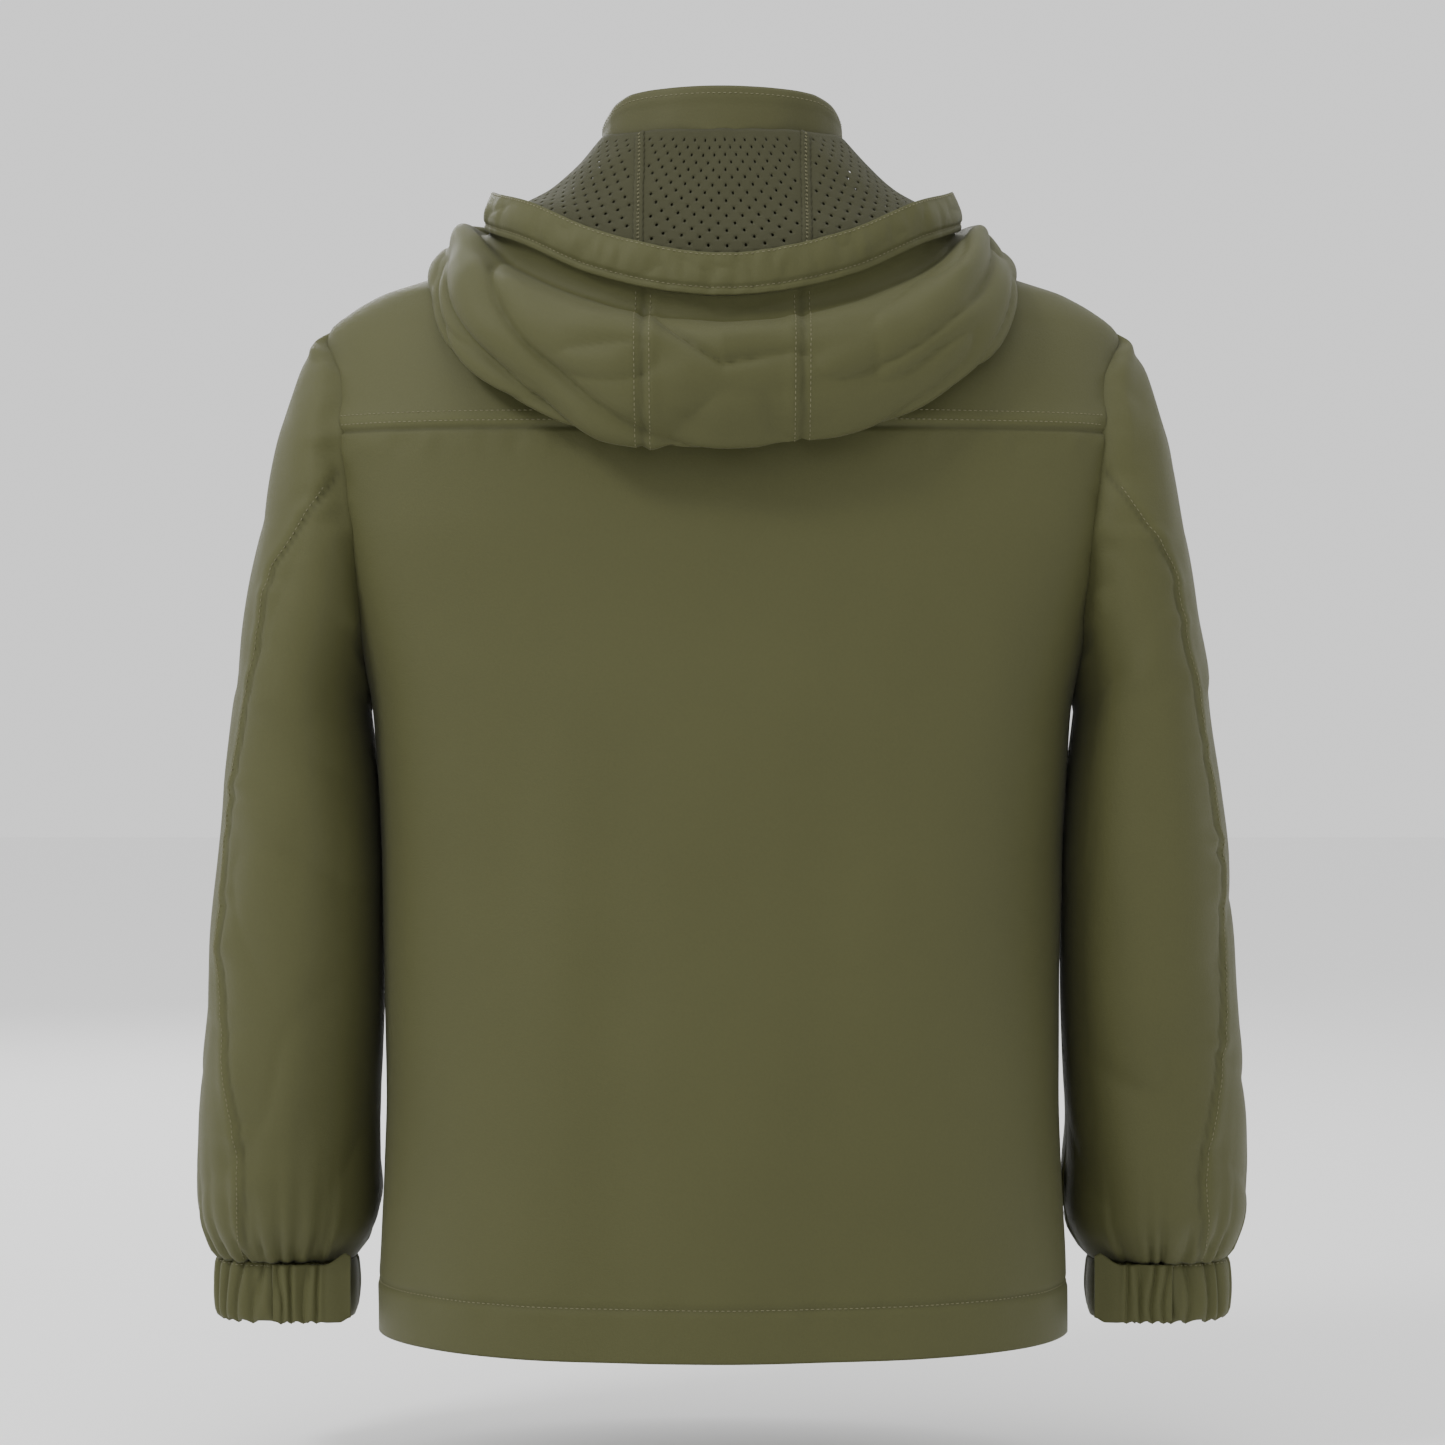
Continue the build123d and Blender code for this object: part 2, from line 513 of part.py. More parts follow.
bag_x0, bag_x1 = POCKET_X - BAG_IN, POCKET_X + POCKET_GAP
bag_z0, bag_z1 = POCKET_TOP_Z - POCKET_L - BAG_DROP, POCKET_TOP_Z + WELT_W
bag_zone = block(bag_x0, bag_x1, -FAR, SIDE_Y, bag_z0, bag_z1)
hollow_zone = block(bag_x0 + BAG_T, bag_x1 - BAG_T, -FAR, 0, bag_z0 + BAG_T, bag_z1 - BAG_T)
with BuildPart() as pocket_bag:
    add(kept(trunk_sheet(-1, BAG_INSET, BAG_INSET + BAG_DEPTH), bag_zone))
    add(kept(trunk_sheet(-1, BAG_INSET + BAG_T, BAG_INSET + BAG_DEPTH - BAG_T), hollow_zone), mode=Mode.SUBTRACT)
    add(slit.part, mode=Mode.SUBTRACT)
write_pair(pocket_bag.part, "pocket_bag")

# ---- sleeves ------------------------------------------------------------------------------------------------------
elbow_top, elbow_foot = ELBOW_Z + ELBOW_SPAN / 2, ELBOW_Z - ELBOW_SPAN / 2
top_side, under_side = sleeve_sheet(False, CAP_Z), sleeve_sheet(True, UNDER_Z)
upper_zone = block(0, FAR, -FAR, FAR, elbow_top + GAP / 2, FAR)
elbow_zone = block(0, FAR, -FAR, FAR, elbow_foot + GAP / 2, elbow_top - GAP / 2)
lower_zone = block(0, FAR, -FAR, FAR, -FAR, elbow_foot - GAP / 2)
write_pair(kept(top_side, upper_zone), "sleeve_top")
write_pair(kept(under_side, upper_zone), "sleeve_under")
write_pair(kept(top_side, lower_zone), "forearm_top")
write_pair(kept(under_side, lower_zone), "forearm_under")
with BuildPart() as elbow:
    add(kept(top_side, elbow_zone))
    add(kept(under_side, elbow_zone))
write_pair(elbow.part, "elbow")


# ---- cuffs --------------------------------------------------------------------------------------------------------
def cuff_ring(out, thickness, z0, z1):
    """A ring round the wrist, its outer face set out (or in, if negative) from the casing's."""
    with BuildPart() as made:
        with BuildSketch(Plane.XY.offset(z0)):
            for grow, mode in ((out, Mode.ADD), (out - thickness, Mode.SUBTRACT)):
                deep = CUFF_HALF_Y + grow
                add(outline(CUFF_X, CUFF_Y, CUFF_HALF_X + grow, CUFF_Y - deep, CUFF_Y + deep, CUFF_FULL), mode=mode)
        extrude(amount=z1 - z0)
    return made.part


casing_top = WRIST_Z - GAP
casing_foot = casing_top - CUFF_H
pocket_w = ELASTIC_T + 2 * GAP
casing_w = 2 * CASING_SKIN + pocket_w
with BuildPart() as cuff_casing:
    add(cuff_ring(0, casing_w, casing_foot, casing_top))
    add(cuff_ring(-CASING_SKIN, pocket_w, casing_foot + CASING_FOLD, FAR), mode=Mode.SUBTRACT)
write_pair(cuff_casing.part, "cuff_casing")
elastic_foot = casing_foot + CASING_FOLD + GAP
write_pair(cuff_ring(-CASING_SKIN - GAP, ELASTIC_T, elastic_foot, elastic_foot + ELASTIC_H), "cuff_elastic")

tab_mid = (casing_top + casing_foot) / 2
tab_layers = (("loop_patch", GAP / 2, LOOP_T, TAB_ROOT - PATCH_SHORT, PATCH_H),
              ("hook_patch", GAP + LOOP_T, HOOK_T, TAB_ROOT - PATCH_SHORT, PATCH_H),
              ("cuff_tab", 1.5 * GAP + LOOP_T + HOOK_T, TAB_T, TAB_ROOT, TAB_H))
for name, lift, thickness, root, height in tab_layers:
    ring = cuff_ring(lift + thickness, thickness, tab_mid - height / 2, tab_mid + height / 2)
    reach = block(CUFF_X - TAB_REACH, CUFF_X + root, CUFF_Y + TAB_TURN, FAR, -FAR, FAR)
    write_pair(kept(ring, reach), name)


# ---- folded hood --------------------------------------------------------------------------------------------------
def in_three(sheet, name, half):
    """A sheet parted by two seams."""
    parts = (("_centre", -half + GAP / 2, half - GAP / 2), ("_left", half + GAP / 2, FAR),
             ("_right", -FAR, -half - GAP / 2))
    for end, x0, x1 in parts:
        write(kept(sheet, block(x0, x1, -FAR, FAR, -FAR, FAR)), name + end)


in_three(hood_sheet(HOOD_SHELL, 0, HOOD_CLOTH), "hood_shell", HOOD_PANEL_HALF)
in_three(hood_sheet(HOOD_LINING, 0, LINING_T), "hood_lining", HOOD_PANEL_HALF)
write(hood_sheet(HOOD_BASE, 0, HOOD_CLOTH), "hood_base")


with BuildPart() as hood_band:
    add(hood_sheet(HOOD_BAND, 0, BAND_SKIN))
    add(hood_sheet(HOOD_BAND, BAND_T - BAND_SKIN, BAND_T))
write(hood_band.part, "hood_band")
elastic_in = (BAND_T - HOOD_ELASTIC_T) / 2
write(hood_sheet(HOOD_BAND, elastic_in, elastic_in + HOOD_ELASTIC_T), "hood_elastic")
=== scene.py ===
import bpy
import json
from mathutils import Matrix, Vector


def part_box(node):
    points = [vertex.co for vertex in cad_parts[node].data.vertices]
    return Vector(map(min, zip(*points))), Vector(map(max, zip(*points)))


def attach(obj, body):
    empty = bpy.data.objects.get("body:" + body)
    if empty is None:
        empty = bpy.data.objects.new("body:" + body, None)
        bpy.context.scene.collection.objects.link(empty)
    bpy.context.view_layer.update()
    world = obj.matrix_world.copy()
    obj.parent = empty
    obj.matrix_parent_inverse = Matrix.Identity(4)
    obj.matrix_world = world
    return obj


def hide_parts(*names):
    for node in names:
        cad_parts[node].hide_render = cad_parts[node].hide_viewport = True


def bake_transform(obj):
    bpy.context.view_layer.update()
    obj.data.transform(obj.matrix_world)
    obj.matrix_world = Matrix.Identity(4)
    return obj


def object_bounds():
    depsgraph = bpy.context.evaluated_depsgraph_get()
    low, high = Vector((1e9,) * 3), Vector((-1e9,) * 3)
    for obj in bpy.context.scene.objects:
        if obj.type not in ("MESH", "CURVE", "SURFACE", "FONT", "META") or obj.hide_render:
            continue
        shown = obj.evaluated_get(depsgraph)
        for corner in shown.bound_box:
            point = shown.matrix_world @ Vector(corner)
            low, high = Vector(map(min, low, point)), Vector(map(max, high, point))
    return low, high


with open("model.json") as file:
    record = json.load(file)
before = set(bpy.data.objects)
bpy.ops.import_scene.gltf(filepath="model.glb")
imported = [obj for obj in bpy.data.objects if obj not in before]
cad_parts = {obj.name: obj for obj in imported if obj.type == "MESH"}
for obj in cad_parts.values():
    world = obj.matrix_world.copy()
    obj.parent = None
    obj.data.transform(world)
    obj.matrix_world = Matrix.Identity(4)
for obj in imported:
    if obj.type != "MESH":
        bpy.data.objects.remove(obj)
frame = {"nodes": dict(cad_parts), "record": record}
START_BOUNDS = [list(corner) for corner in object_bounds()]

import json
from math import cos, pi, radians, sin
import bpy
import numpy as np
from mathutils import Vector

MM = 0.001
hem_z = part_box("back_panel")[0][2] / MM
cuff_low, cuff_high = (corner[2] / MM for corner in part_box("cuff_casing_left"))
yoke_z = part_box("back_yoke")[0][2] / MM
neck_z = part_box("collar_outer")[0][2] / MM
SIDE_Y = 4.0
FRONT_HEM_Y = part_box("front_panel_left")[0][1] / MM
FRONT_SLOPE = 66.0 / 761.0  # how far the front leans back on its way up to the collar
ZIP_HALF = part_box("front_panel_left")[0][0] / MM
HEM_DEPTH = 32
HOOD_SEAM_X, LINING_SEAM_X = 48, 51
COLLAR_HEIGHT = 80
BAND_STITCH = .82  # share of the band's width where its row of thread runs
SLEEVE_SEAM_TOP = -160

# Trunk: height, half width, back, fullness, share left open for the arm.
TRUNK = [
    (hem_z, 219, 140, .62, 0), (-560, 214, 134, .64, 0), (-400, 216, 131, .69, 0),
    (-304, 222, 129.5, .75, 0), (-290, 225.5, 129, .76, .08), (-250, 236, 126.5, .78, .24),
    (-200, 250, 124, .80, .33), (yoke_z, 262, 116, .76, .33), (-100, 256.5, 108, .62, .24),
    (-84, 255, 104, .54, .14), (-76, 254, 101, .50, .06), (-68, 251, 98, .46, 0), (-61, 243, 95, .46, 0),
    (-53, 231, 91, .46, 0), (-45, 216, 88, .47, 0), (-38, 194, 85, .48, 0), (-30, 170, 82, .48, 0),
    (0, 83, 69, .56, 0)]
SLEEVE = [
    (-62, 234, 236, .5, 4, .04), (-68, 236, 249.5, 2.5, 4, .04), (-76, 231, 260, 14, 4.5, .03),
    (-84, 224, 264.5, 26, 5.5, .03), (-92, 218, 268, 34, 6.5, .02), (-100, 214, 270.5, 41, 7, .02),
    (-120, 208, 277, 54, 7.5, .02), (yoke_z, 206, 282, 64, 8, .03), (-200, 211, 294, 78, 9, .30),
    (-250, 217, 302, 82, 8, .54), (-290, 225, 308, 84, 8, .84), (-304, 225.5, 309, 84, 8, 1),
    (-352, 219.6, 315, 81, 6, 1), (-400, 216.8, 320, 79, 4, 1), (-448, 216.3, 325, 77, 1, 1),
    (-495, 216.8, 329, 74, -2, 1), (-534, 218.5, 332, 70, -6, 1), (-600, 222, 335, 63, -13, 1),
    (-640, 228, 331, 52, -18, 1), (cuff_high, 236, 326, 38, -21, 1)]
SEAM_X = [
    (-165, 238), (-221, 277), (-304, 293), (-393, 309), (-464, 313), (-528, 310), (-579, 302),
    (-611, 299), (-664, 302)]
HOOD_AXIS_Y = 20.0
END_TURN = 122.0
HOOD_SHELL = [
    (0, (115, -66, 114, -78, 125, -81, 140, -98, 144, -120, 129, -154, 112, -142, 98, -100, 88, -76)),
    (40, (125, -50, 124, -62, 139, -64, 157, -80, 163, -102, 150, -136, 134, -128, 114, -82, 102, -60)),
    (65, (137, -27, 138, -38, 152, -36, 172, -46, 184, -66, 182, -90, 168, -84, 142, -50, 124, -33)),
    (80, (144, -15, 146, -21, 157, -16, 171, -22, 182, -36, 182, -48, 171, -36, 146, -24, 128, -13)),
    (95, (148, -9, 154, -8, 162, -4, 170, -7, 176, -16, 174, -24, 160, -19, 142, -12, 128, -8)),
    (END_TURN, (123, -11, 128, -9, 134, -7, 139, -10, 142, -15, 140, -20, 131, -16, 122, -12, 116, -9))]
HOOD_BAND = [
    (0, (109, -36, 112, -50, 114, -62)), (40, (119, -19, 122, -33, 123, -46)),
    (65, (132, 4, 135, -9, 136, -22)), (80, (138, 12, 142, 0, 143, -12)),
    (95, (143, 19, 147, 8, 148, -4)), (END_TURN, (119, 10, 123, 2, 124, -6))]
HOOD_LINING = [
    (0, (46, 51, 62, 24, 81, -6, 98, -32, 107, -54)), (40, (56, 51, 73, 26, 91, 0, 108, -20, 117, -38)),
    (65, (68, 51, 86, 30, 103, 10, 119, -3, 130, -14)), (80, (74, 52, 90, 33, 107, 16, 124, 5, 136, -5)),
    (95, (78, 53, 94, 36, 110, 22, 128, 12, 141, 5)),
    (END_TURN, (93, 50, 99, 38, 105, 25, 112, 13, 118, 3))]
HOOD_BASE = [
    (0, (88, -72, 80, -50, 72, -26, 62, 0, 50, 22)), (40, (102, -57, 90, -40, 80, -20, 70, 2, 59, 22)),
    (65, (124, -32, 107, -18, 96, -6, 84, 8, 73, 24)), (80, (128, -12, 112, -6, 101, 1, 90, 10, 78, 24)),
    (95, (128, -6, 115, 0, 105, 5, 94, 12, 82, 25)),
    (END_TURN, (116, -7, 110, -1, 105, 5, 100, 13, 95, 24))]


# ---- numbers -------------------------------------------------------------------------------------
def rows_of(table, z, width=14.0):
    """The table's columns at heights z, rounded over a width so that the levels don't show."""
    keys = np.array(sorted(table), float)
    spread = np.clip((-60 - z) / 5, 2.5, width)
    out = []
    for column in range(1, keys.shape[1]):
        taps = [np.interp(z + d * spread, keys[:, 0], keys[:, column]) for d in (-1, -.5, 0, .5, 1)]
        out.append((taps[0] + 2 * taps[1] + 3 * taps[2] + 2 * taps[3] + taps[4]) / 9)
    return out


def smooth_step(x):
    x = np.clip(x, 0, 1)
    return x * x * (3 - 2 * x)


def noise(u, v, seed):
    """Value noise between -1 and 1, one cell per unit."""
    field = np.random.default_rng(seed).uniform(-1, 1, (64, 64))
    iu, iv = np.floor(u).astype(int), np.floor(v).astype(int)
    fu, fv = smooth_step(u - iu), smooth_step(v - iv)
    at = lambda a, b: field[a % 64, b % 64]
    low = at(iu, iv) * (1 - fu) + at(iu + 1, iv) * fu
    high = at(iu, iv + 1) * (1 - fu) + at(iu + 1, iv + 1) * fu
    return low * (1 - fv) + high * fv


def crease(u, v, seed):
    """Soft folds between 0 and 1: rounded ridges with narrower valleys."""
    return np.sqrt(np.abs(noise(u, v, seed)) + .02)


def curve4(t, a, b, c, d):
    return a * (1 - t) ** 3 + 3 * b * (1 - t) ** 2 * t + 3 * c * (1 - t) * t ** 2 + d * t ** 3


def normals_of(P):
    across = np.gradient(P, axis=1)
    down = np.gradient(P, axis=0)
    n = np.cross(across, down)
    return n / np.maximum(np.linalg.norm(n, axis=2, keepdims=True), 1e-9)


def outward(P, centre):
    """Normals of a grid, turned away from a centre."""
    n = normals_of(P)
    return n if ((P - centre) * n).sum() > 0 else -n


def lengths(P, axis):
    """Distance along a grid's rows or columns, in metres, for the weave's coordinates."""
    step = np.linalg.norm(np.diff(P, axis=axis), axis=2)
    pad = [(0, 0), (0, 0)]
    pad[axis] = (1, 0)
    return np.cumsum(np.pad(step, pad), axis=axis) * MM


def at_grid(G, r, c):
    """Points of a grid at fractional rows and columns."""
    r, c = np.clip(r, 0, G.shape[0] - 1.001), np.clip(c, 0, G.shape[1] - 1.001)
    i, j = r.astype(int), c.astype(int)
    a, b = (r - i)[:, None], (c - j)[:, None]
    near = G[i, j] * (1 - a) * (1 - b) + G[i + 1, j] * a * (1 - b)
    return near + G[i, j + 1] * (1 - a) * b + G[i + 1, j + 1] * a * b


# ---- materials -----------------------------------------------------------------------------------
def cloth_group():
    """Woven cloth's colour and normal: threads from the surface's own coordinates, soft tone changes at
    random, and painted shade and highlight along the seams.
    """
    g = bpy.data.node_groups.new("Cloth", "ShaderNodeTree")
    face = g.interface
    for label, kind, value in (("Colour", "NodeSocketColor", (.1, .1, .05, 1)),
                               ("Thread", "NodeSocketFloat", 1500.0),
                               ("Weave", "NodeSocketFloat", .25),
                               ("SeamShade", "NodeSocketFloat", .5)):
        face.new_socket(label, in_out="INPUT", socket_type=kind).default_value = value
    face.new_socket("Colour", in_out="OUTPUT", socket_type="NodeSocketColor")
    face.new_socket("Normal", in_out="OUTPUT", socket_type="NodeSocketVector")
    node, link = g.nodes.new, g.links.new
    given, out = node("NodeGroupInput"), node("NodeGroupOutput")
    place, uv = node("ShaderNodeTexCoord"), node("ShaderNodeUVMap")
    uv.uv_map = "cloth"
    waves = []
    for way in ("X", "Y"):
        w = node("ShaderNodeTexWave")
        w.bands_direction = way
        w.inputs["Distortion"].default_value = .4
        link(uv.outputs[0], w.inputs["Vector"])
        link(given.outputs["Thread"], w.inputs["Scale"])
        waves.append(w)
    weave = node("ShaderNodeMath")
    weave.operation = "MULTIPLY"
    link(waves[0].outputs["Fac"], weave.inputs[0])
    link(waves[1].outputs["Fac"], weave.inputs[1])
    soft = node("ShaderNodeTexNoise")
    soft.inputs["Scale"].default_value = 9
    soft.inputs["Detail"].default_value = 4
    link(place.outputs["Object"], soft.inputs["Vector"])
    slub = node("ShaderNodeTexNoise")
    slub.inputs["Scale"].default_value = 650
    link(place.outputs["Object"], slub.inputs["Vector"])
    total = node("ShaderNodeMath")
    total.operation = "ADD"
    link(soft.outputs["Fac"], total.inputs[0])
    link(slub.outputs["Fac"], total.inputs[1])
    # Painted shade in the seams' grooves and painted highlight on their ridges: the seam attribute, scaled by
    # a group input, darkens or lightens the colour.
    seam = node("ShaderNodeAttribute")
    seam.attribute_name = "seam"
    tone = node("ShaderNodeMapRange")
    tone.inputs["From Min"].default_value, tone.inputs["From Max"].default_value = .7, 1.3
    tone.inputs["To Min"].default_value, tone.inputs["To Max"].default_value = .96, 1.04
    link(total.outputs[0], tone.inputs["Value"])
    seam_shade = node("ShaderNodeMath")
    seam_shade.operation = "MULTIPLY"
    link(seam.outputs["Fac"], seam_shade.inputs[0])
    link(given.outputs["SeamShade"], seam_shade.inputs[1])
    lift = node("ShaderNodeMath")
    lift.operation = "ADD"
    link(tone.outputs[0], lift.inputs[0])
    link(seam_shade.outputs[0], lift.inputs[1])
    shade = node("ShaderNodeMix")
    shade.data_type, shade.blend_type = "RGBA", "MULTIPLY"
    shade.inputs["Factor"].default_value = 1
    link(given.outputs["Colour"], shade.inputs["A"])
    link(lift.outputs[0], shade.inputs["B"])
    bump = node("ShaderNodeBump")
    bump.inputs["Distance"].default_value = .00015
    link(given.outputs["Weave"], bump.inputs["Strength"])
    link(weave.outputs[0], bump.inputs["Height"])
    grain = node("ShaderNodeBump")
    grain.inputs["Distance"].default_value = .0003
    grain.inputs["Strength"].default_value = .35
    link(slub.outputs["Fac"], grain.inputs["Height"])
    link(bump.outputs[0], grain.inputs["Normal"])
    link(shade.outputs["Result"], out.inputs["Colour"])
    link(grain.outputs[0], out.inputs["Normal"])
    return g


CLOTH = cloth_group()


def linear(rgb):
    return tuple(((c / 255 + .055) / 1.055) ** 2.4 for c in rgb) + (1,)


def cloth(name, rgb, rough=.6, sheen=.04, **weave):
    """A cloth of one colour; weave sets the Cloth group's inputs by name."""
    m = bpy.data.materials.new(name)
    m.use_nodes = True
    tree = m.node_tree
    tree.nodes.clear()
    used, out = tree.nodes.new("ShaderNodeGroup"), tree.nodes.new("ShaderNodeOutputMaterial")
    shader = tree.nodes.new("ShaderNodeBsdfPrincipled")
    used.node_tree = CLOTH
    used.inputs["Colour"].default_value = linear(rgb)
    for label, value in weave.items():
        used.inputs[label].default_value = value
    shader.inputs["Roughness"].default_value = rough
    shader.inputs["Sheen Weight"].default_value = sheen
    shader.inputs["Specular IOR Level"].default_value = .22
    tree.links.new(used.outputs["Colour"], shader.inputs["Base Color"])
    tree.links.new(used.outputs["Normal"], shader.inputs["Normal"])
    tree.links.new(shader.outputs[0], out.inputs[0])
    m.diffuse_color = linear(rgb)
    return m


def plain(name, rgb, rough):
    m = bpy.data.materials.new(name)
    m.use_nodes = True
    b = m.node_tree.nodes["Principled BSDF"]
    b.inputs["Base Color"].default_value = linear(rgb)
    b.inputs["Roughness"].default_value = rough
    m.diffuse_color = linear(rgb)
    return m


MATS = {
    "shell": cloth("shell", (72, 72.5, 42)),
    "collar": cloth("collar", (70, 70, 42)),
    "mesh": cloth("mesh", (57, 57, 36), rough=.8, Thread=700.0, Weave=.6),
    "lining": cloth("lining", (66, 65, 49), sheen=.05),
    "tape": cloth("tape", (66, 65, 48), Thread=500.0, Weave=.6),
    "hook_loop": cloth("hook_loop", (58, 57, 42), rough=.95, sheen=.4),
    "elastic": cloth("elastic", (52, 52, 42), rough=.8, Thread=300.0, Weave=.8),
    "zip_plastic": plain("zip_plastic", (54, 54, 40), .45),
    "thread": plain("thread", (104, 102, 74), .6)}


# ---- pieces --------------------------------------------------------------------------------------
def build(name, verts, faces, material, uv=None, seam=None):
    mesh = bpy.data.meshes.new(name)
    mesh.from_pydata(np.asarray(verts).tolist(), [], faces if isinstance(faces, list) else faces.tolist())
    obj = bpy.data.objects.new(name, mesh)
    bpy.context.collection.objects.link(obj)
    mesh.materials.append(MATS[material])
    if uv is not None:
        layer = mesh.uv_layers.new(name="cloth")
        corner = np.empty(len(mesh.loops), int)
        mesh.loops.foreach_get("vertex_index", corner)
        layer.data.foreach_set("uv", np.asarray(uv)[corner].ravel())
    # The seam attribute carries painted shade and painted highlight for the seams, which the Cloth group puts
    # into the colour.
    if seam is not None:
        tones = np.asarray(seam, float).ravel()
        mesh.attributes.new("seam", "FLOAT", "POINT").data.foreach_set("value", tones)
    mesh.shade_smooth()
    return obj


def thicken(obj, mm):
    """Gives a sheet its thickness, inwards."""
    made = obj.modifiers.new("thickness", "SOLIDIFY")
    made.thickness = mm * MM
    made.offset = -1
    made.use_even_offset = False
    bpy.context.view_layer.objects.active = obj
    bpy.ops.object.modifier_apply(modifier=made.name)


def grid_faces(rows, cols, keep=None):
    i, j = np.mgrid[0:rows - 1, 0:cols - 1]
    quads = np.stack([i * cols + j, i * cols + j + 1, (i + 1) * cols + j + 1, (i + 1) * cols + j], -1)
    return quads.reshape(-1, 4) if keep is None else quads[keep]


def sheet(name, P, N, mm, material="shell", keep=None, seam=None):
    """A cloth piece from a grid of points whose normals N face out."""
    rows, cols = P.shape[:2]
    faces = grid_faces(rows, cols, keep)
    if (normals_of(P) * N).sum() >= 0:
        faces = faces[:, ::-1]
    uv = np.stack([lengths(P, 1), lengths(P, 0)], -1).reshape(-1, 2)
    obj = build(name, P.reshape(-1, 3) * MM, faces, material, uv, seam)
    a = obj.data.polygons[len(obj.data.polygons) // 2]
    r, c = divmod(a.vertices[0], cols)
    if a.normal.dot(Vector(N[r, c])) < 0:
        obj.data.flip_normals()
    if mm:
        thicken(obj, mm)
    return obj


BAR_FACES = ((0, 2, 1), (0, 3, 2), (1, 2, 5, 4), (2, 3, 6, 5),
             (4, 5, 7), (5, 6, 7), (0, 1, 4, 7), (0, 7, 6, 3))


def stitches(name, runs, pitch=3.4, length=2.5, r=.3, lift=.15):
    """Rows of thread stitches, each a small bar, along runs of (points, normals)."""
    verts, faces = [], []
    for points, up in runs:
        step = np.linalg.norm(np.diff(points, axis=0), axis=1)
        along = np.concatenate([[0], np.cumsum(step)])
        count = int(along[-1] / pitch)
        for k in range(count):
            ends = np.array([k * pitch + .4, k * pitch + .4 + length])
            a, b = (np.array([np.interp(e, along, points[:, i]) for i in range(3)]) for e in ends)
            n = np.array([np.interp(ends.mean(), along, up[:, i]) for i in range(3)])
            n /= max(np.linalg.norm(n), 1e-9)
            side = np.cross(b - a, n)
            side *= r / max(np.linalg.norm(side), 1e-9)
            first = len(verts)
            verts += [a - n * .2, a * .75 + b * .25 + side + n * lift, a * .75 + b * .25 + n * (lift + r),
                      a * .75 + b * .25 - side + n * lift, a * .25 + b * .75 + side + n * lift,
                      a * .25 + b * .75 + n * (lift + r), a * .25 + b * .75 - side + n * lift, b - n * .2]
            faces += [[first + q for q in f] for f in BAR_FACES]
    return build(name, np.array(verts) * MM, faces, "thread")


def open_share(z):
    """The share of each side that the armhole takes at heights z."""
    return np.interp(z, *np.array([(r[0], r[4]) for r in sorted(TRUNK)]).T)


def trunk_grid(z, shares, side):
    """Rows at heights z of the back (side 1) or the left front (side -1); shares run over a row."""
    half, back, full, _ = rows_of(TRUNK, z)
    opened = open_share(z)
    front = FRONT_HEM_Y + FRONT_SLOPE * (z - hem_z)
    depth = (back if side == 1 else front) - SIDE_Y
    half, depth, full, opened = (a[:, None] for a in (half, depth, full, opened))
    way = np.sign(shares)[None, :]
    t = opened + (1 - opened) * (1 - np.abs(shares)[None, :])
    x = way * curve4(t, half, half, full * half, 0)
    y = SIDE_Y + curve4(t, 0, full * depth, depth, depth)
    return np.stack([x, y, np.broadcast_to(z[:, None], x.shape)], -1)


def levels(low, high, fine=()):
    """Heights from high to low, closer near the fine ones."""
    z, out = high, []
    while z > low:
        out.append(z)
        near = min([abs(z - f) for f in fine] + [99])
        z -= 1.6 if near < 12 else 4.2
    return np.array(out + [low])


# ---- trunk ---------------------------------------------------------------------------------------
z_rows = levels(hem_z, -2, (yoke_z, hem_z + HEM_DEPTH, -30, -16, -45))
shares = np.linspace(1, -1, 181)
shares[90] = 1e-6
back = trunk_grid(z_rows, shares, 1)
normal = outward(back, np.array([0, 0, -350.]))
Z = back[..., 2]
X = back[..., 0]
edge = 1 - np.abs(shares)[None, :]
drape = smooth_step((-160 - Z) / 260) * smooth_step(edge * 9)
d = drape * (2.6 * noise(X / 62 + 9, Z / 330, 3) + 1.4 * noise(X / 33, Z / 210 + 4, 5))
d += .8 * noise(X / 55, Z / 60, 7)
over = Z - yoke_z
d += 1.1 * np.exp(-((over - 5) / 5.5) ** 2) - 1.6 * np.exp(-((over + 1.0) / 1.3) ** 2)
d += .9 * np.exp(-((over + 9) / 9) ** 2) * noise(X / 9, Z / 30, 11)
low = Z - hem_z
d += .7 * smooth_step((HEM_DEPTH + 2 - low) / 3) - 1.0 * np.exp(-((low - HEM_DEPTH) / 2.2) ** 2)
d += .8 * np.exp(-((low - HEM_DEPTH) / 12) ** 2) * noise(X / 14, Z / 40, 13)
arm = smooth_step((-62 - Z) / 20) * smooth_step((Z + 300) / 20)
d -= .5 * arm * np.exp(-(edge * 300 / 2.5) ** 2)
d += .8 * arm * np.exp(-((edge * 300 - 9) / 10) ** 2) * noise(Z / 9, X / 60, 17)
back = back + normal * d[..., None]
# Painted shade in the yoke seam's groove and along the hem stitching, and a painted highlight on the fold
# just above the yoke seam.
seam_shading = (.10 * np.exp(-((over - 4) / 4) ** 2) - .5 * np.exp(-((over + 1) / 1.4) ** 2)
             - .25 * np.exp(-((low - HEM_DEPTH) / 1.6) ** 2)).ravel()
back_piece = sheet("back", back, normal, 1.4, seam=seam_shading)
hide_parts("back_panel", "back_yoke", "hem_facing_back")
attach(back_piece, "body")


def line_at(P, N, z_list, z, c0=0.0, c1=None, count=400):
    """A run across a grid at one height."""
    row = np.interp(-z, -z_list, np.arange(len(z_list)))
    c = np.linspace(c0, P.shape[1] - 1.01 if c1 is None else c1, count)
    r = np.full(count, row)
    return at_grid(P, r, c), at_grid(N, r, c)


body_runs = [line_at(back, normal, z_rows, yoke_z + v, 1, 179) for v in (3.0, 9.0)]
body_runs.append(line_at(back, normal, z_rows, hem_z + HEM_DEPTH))

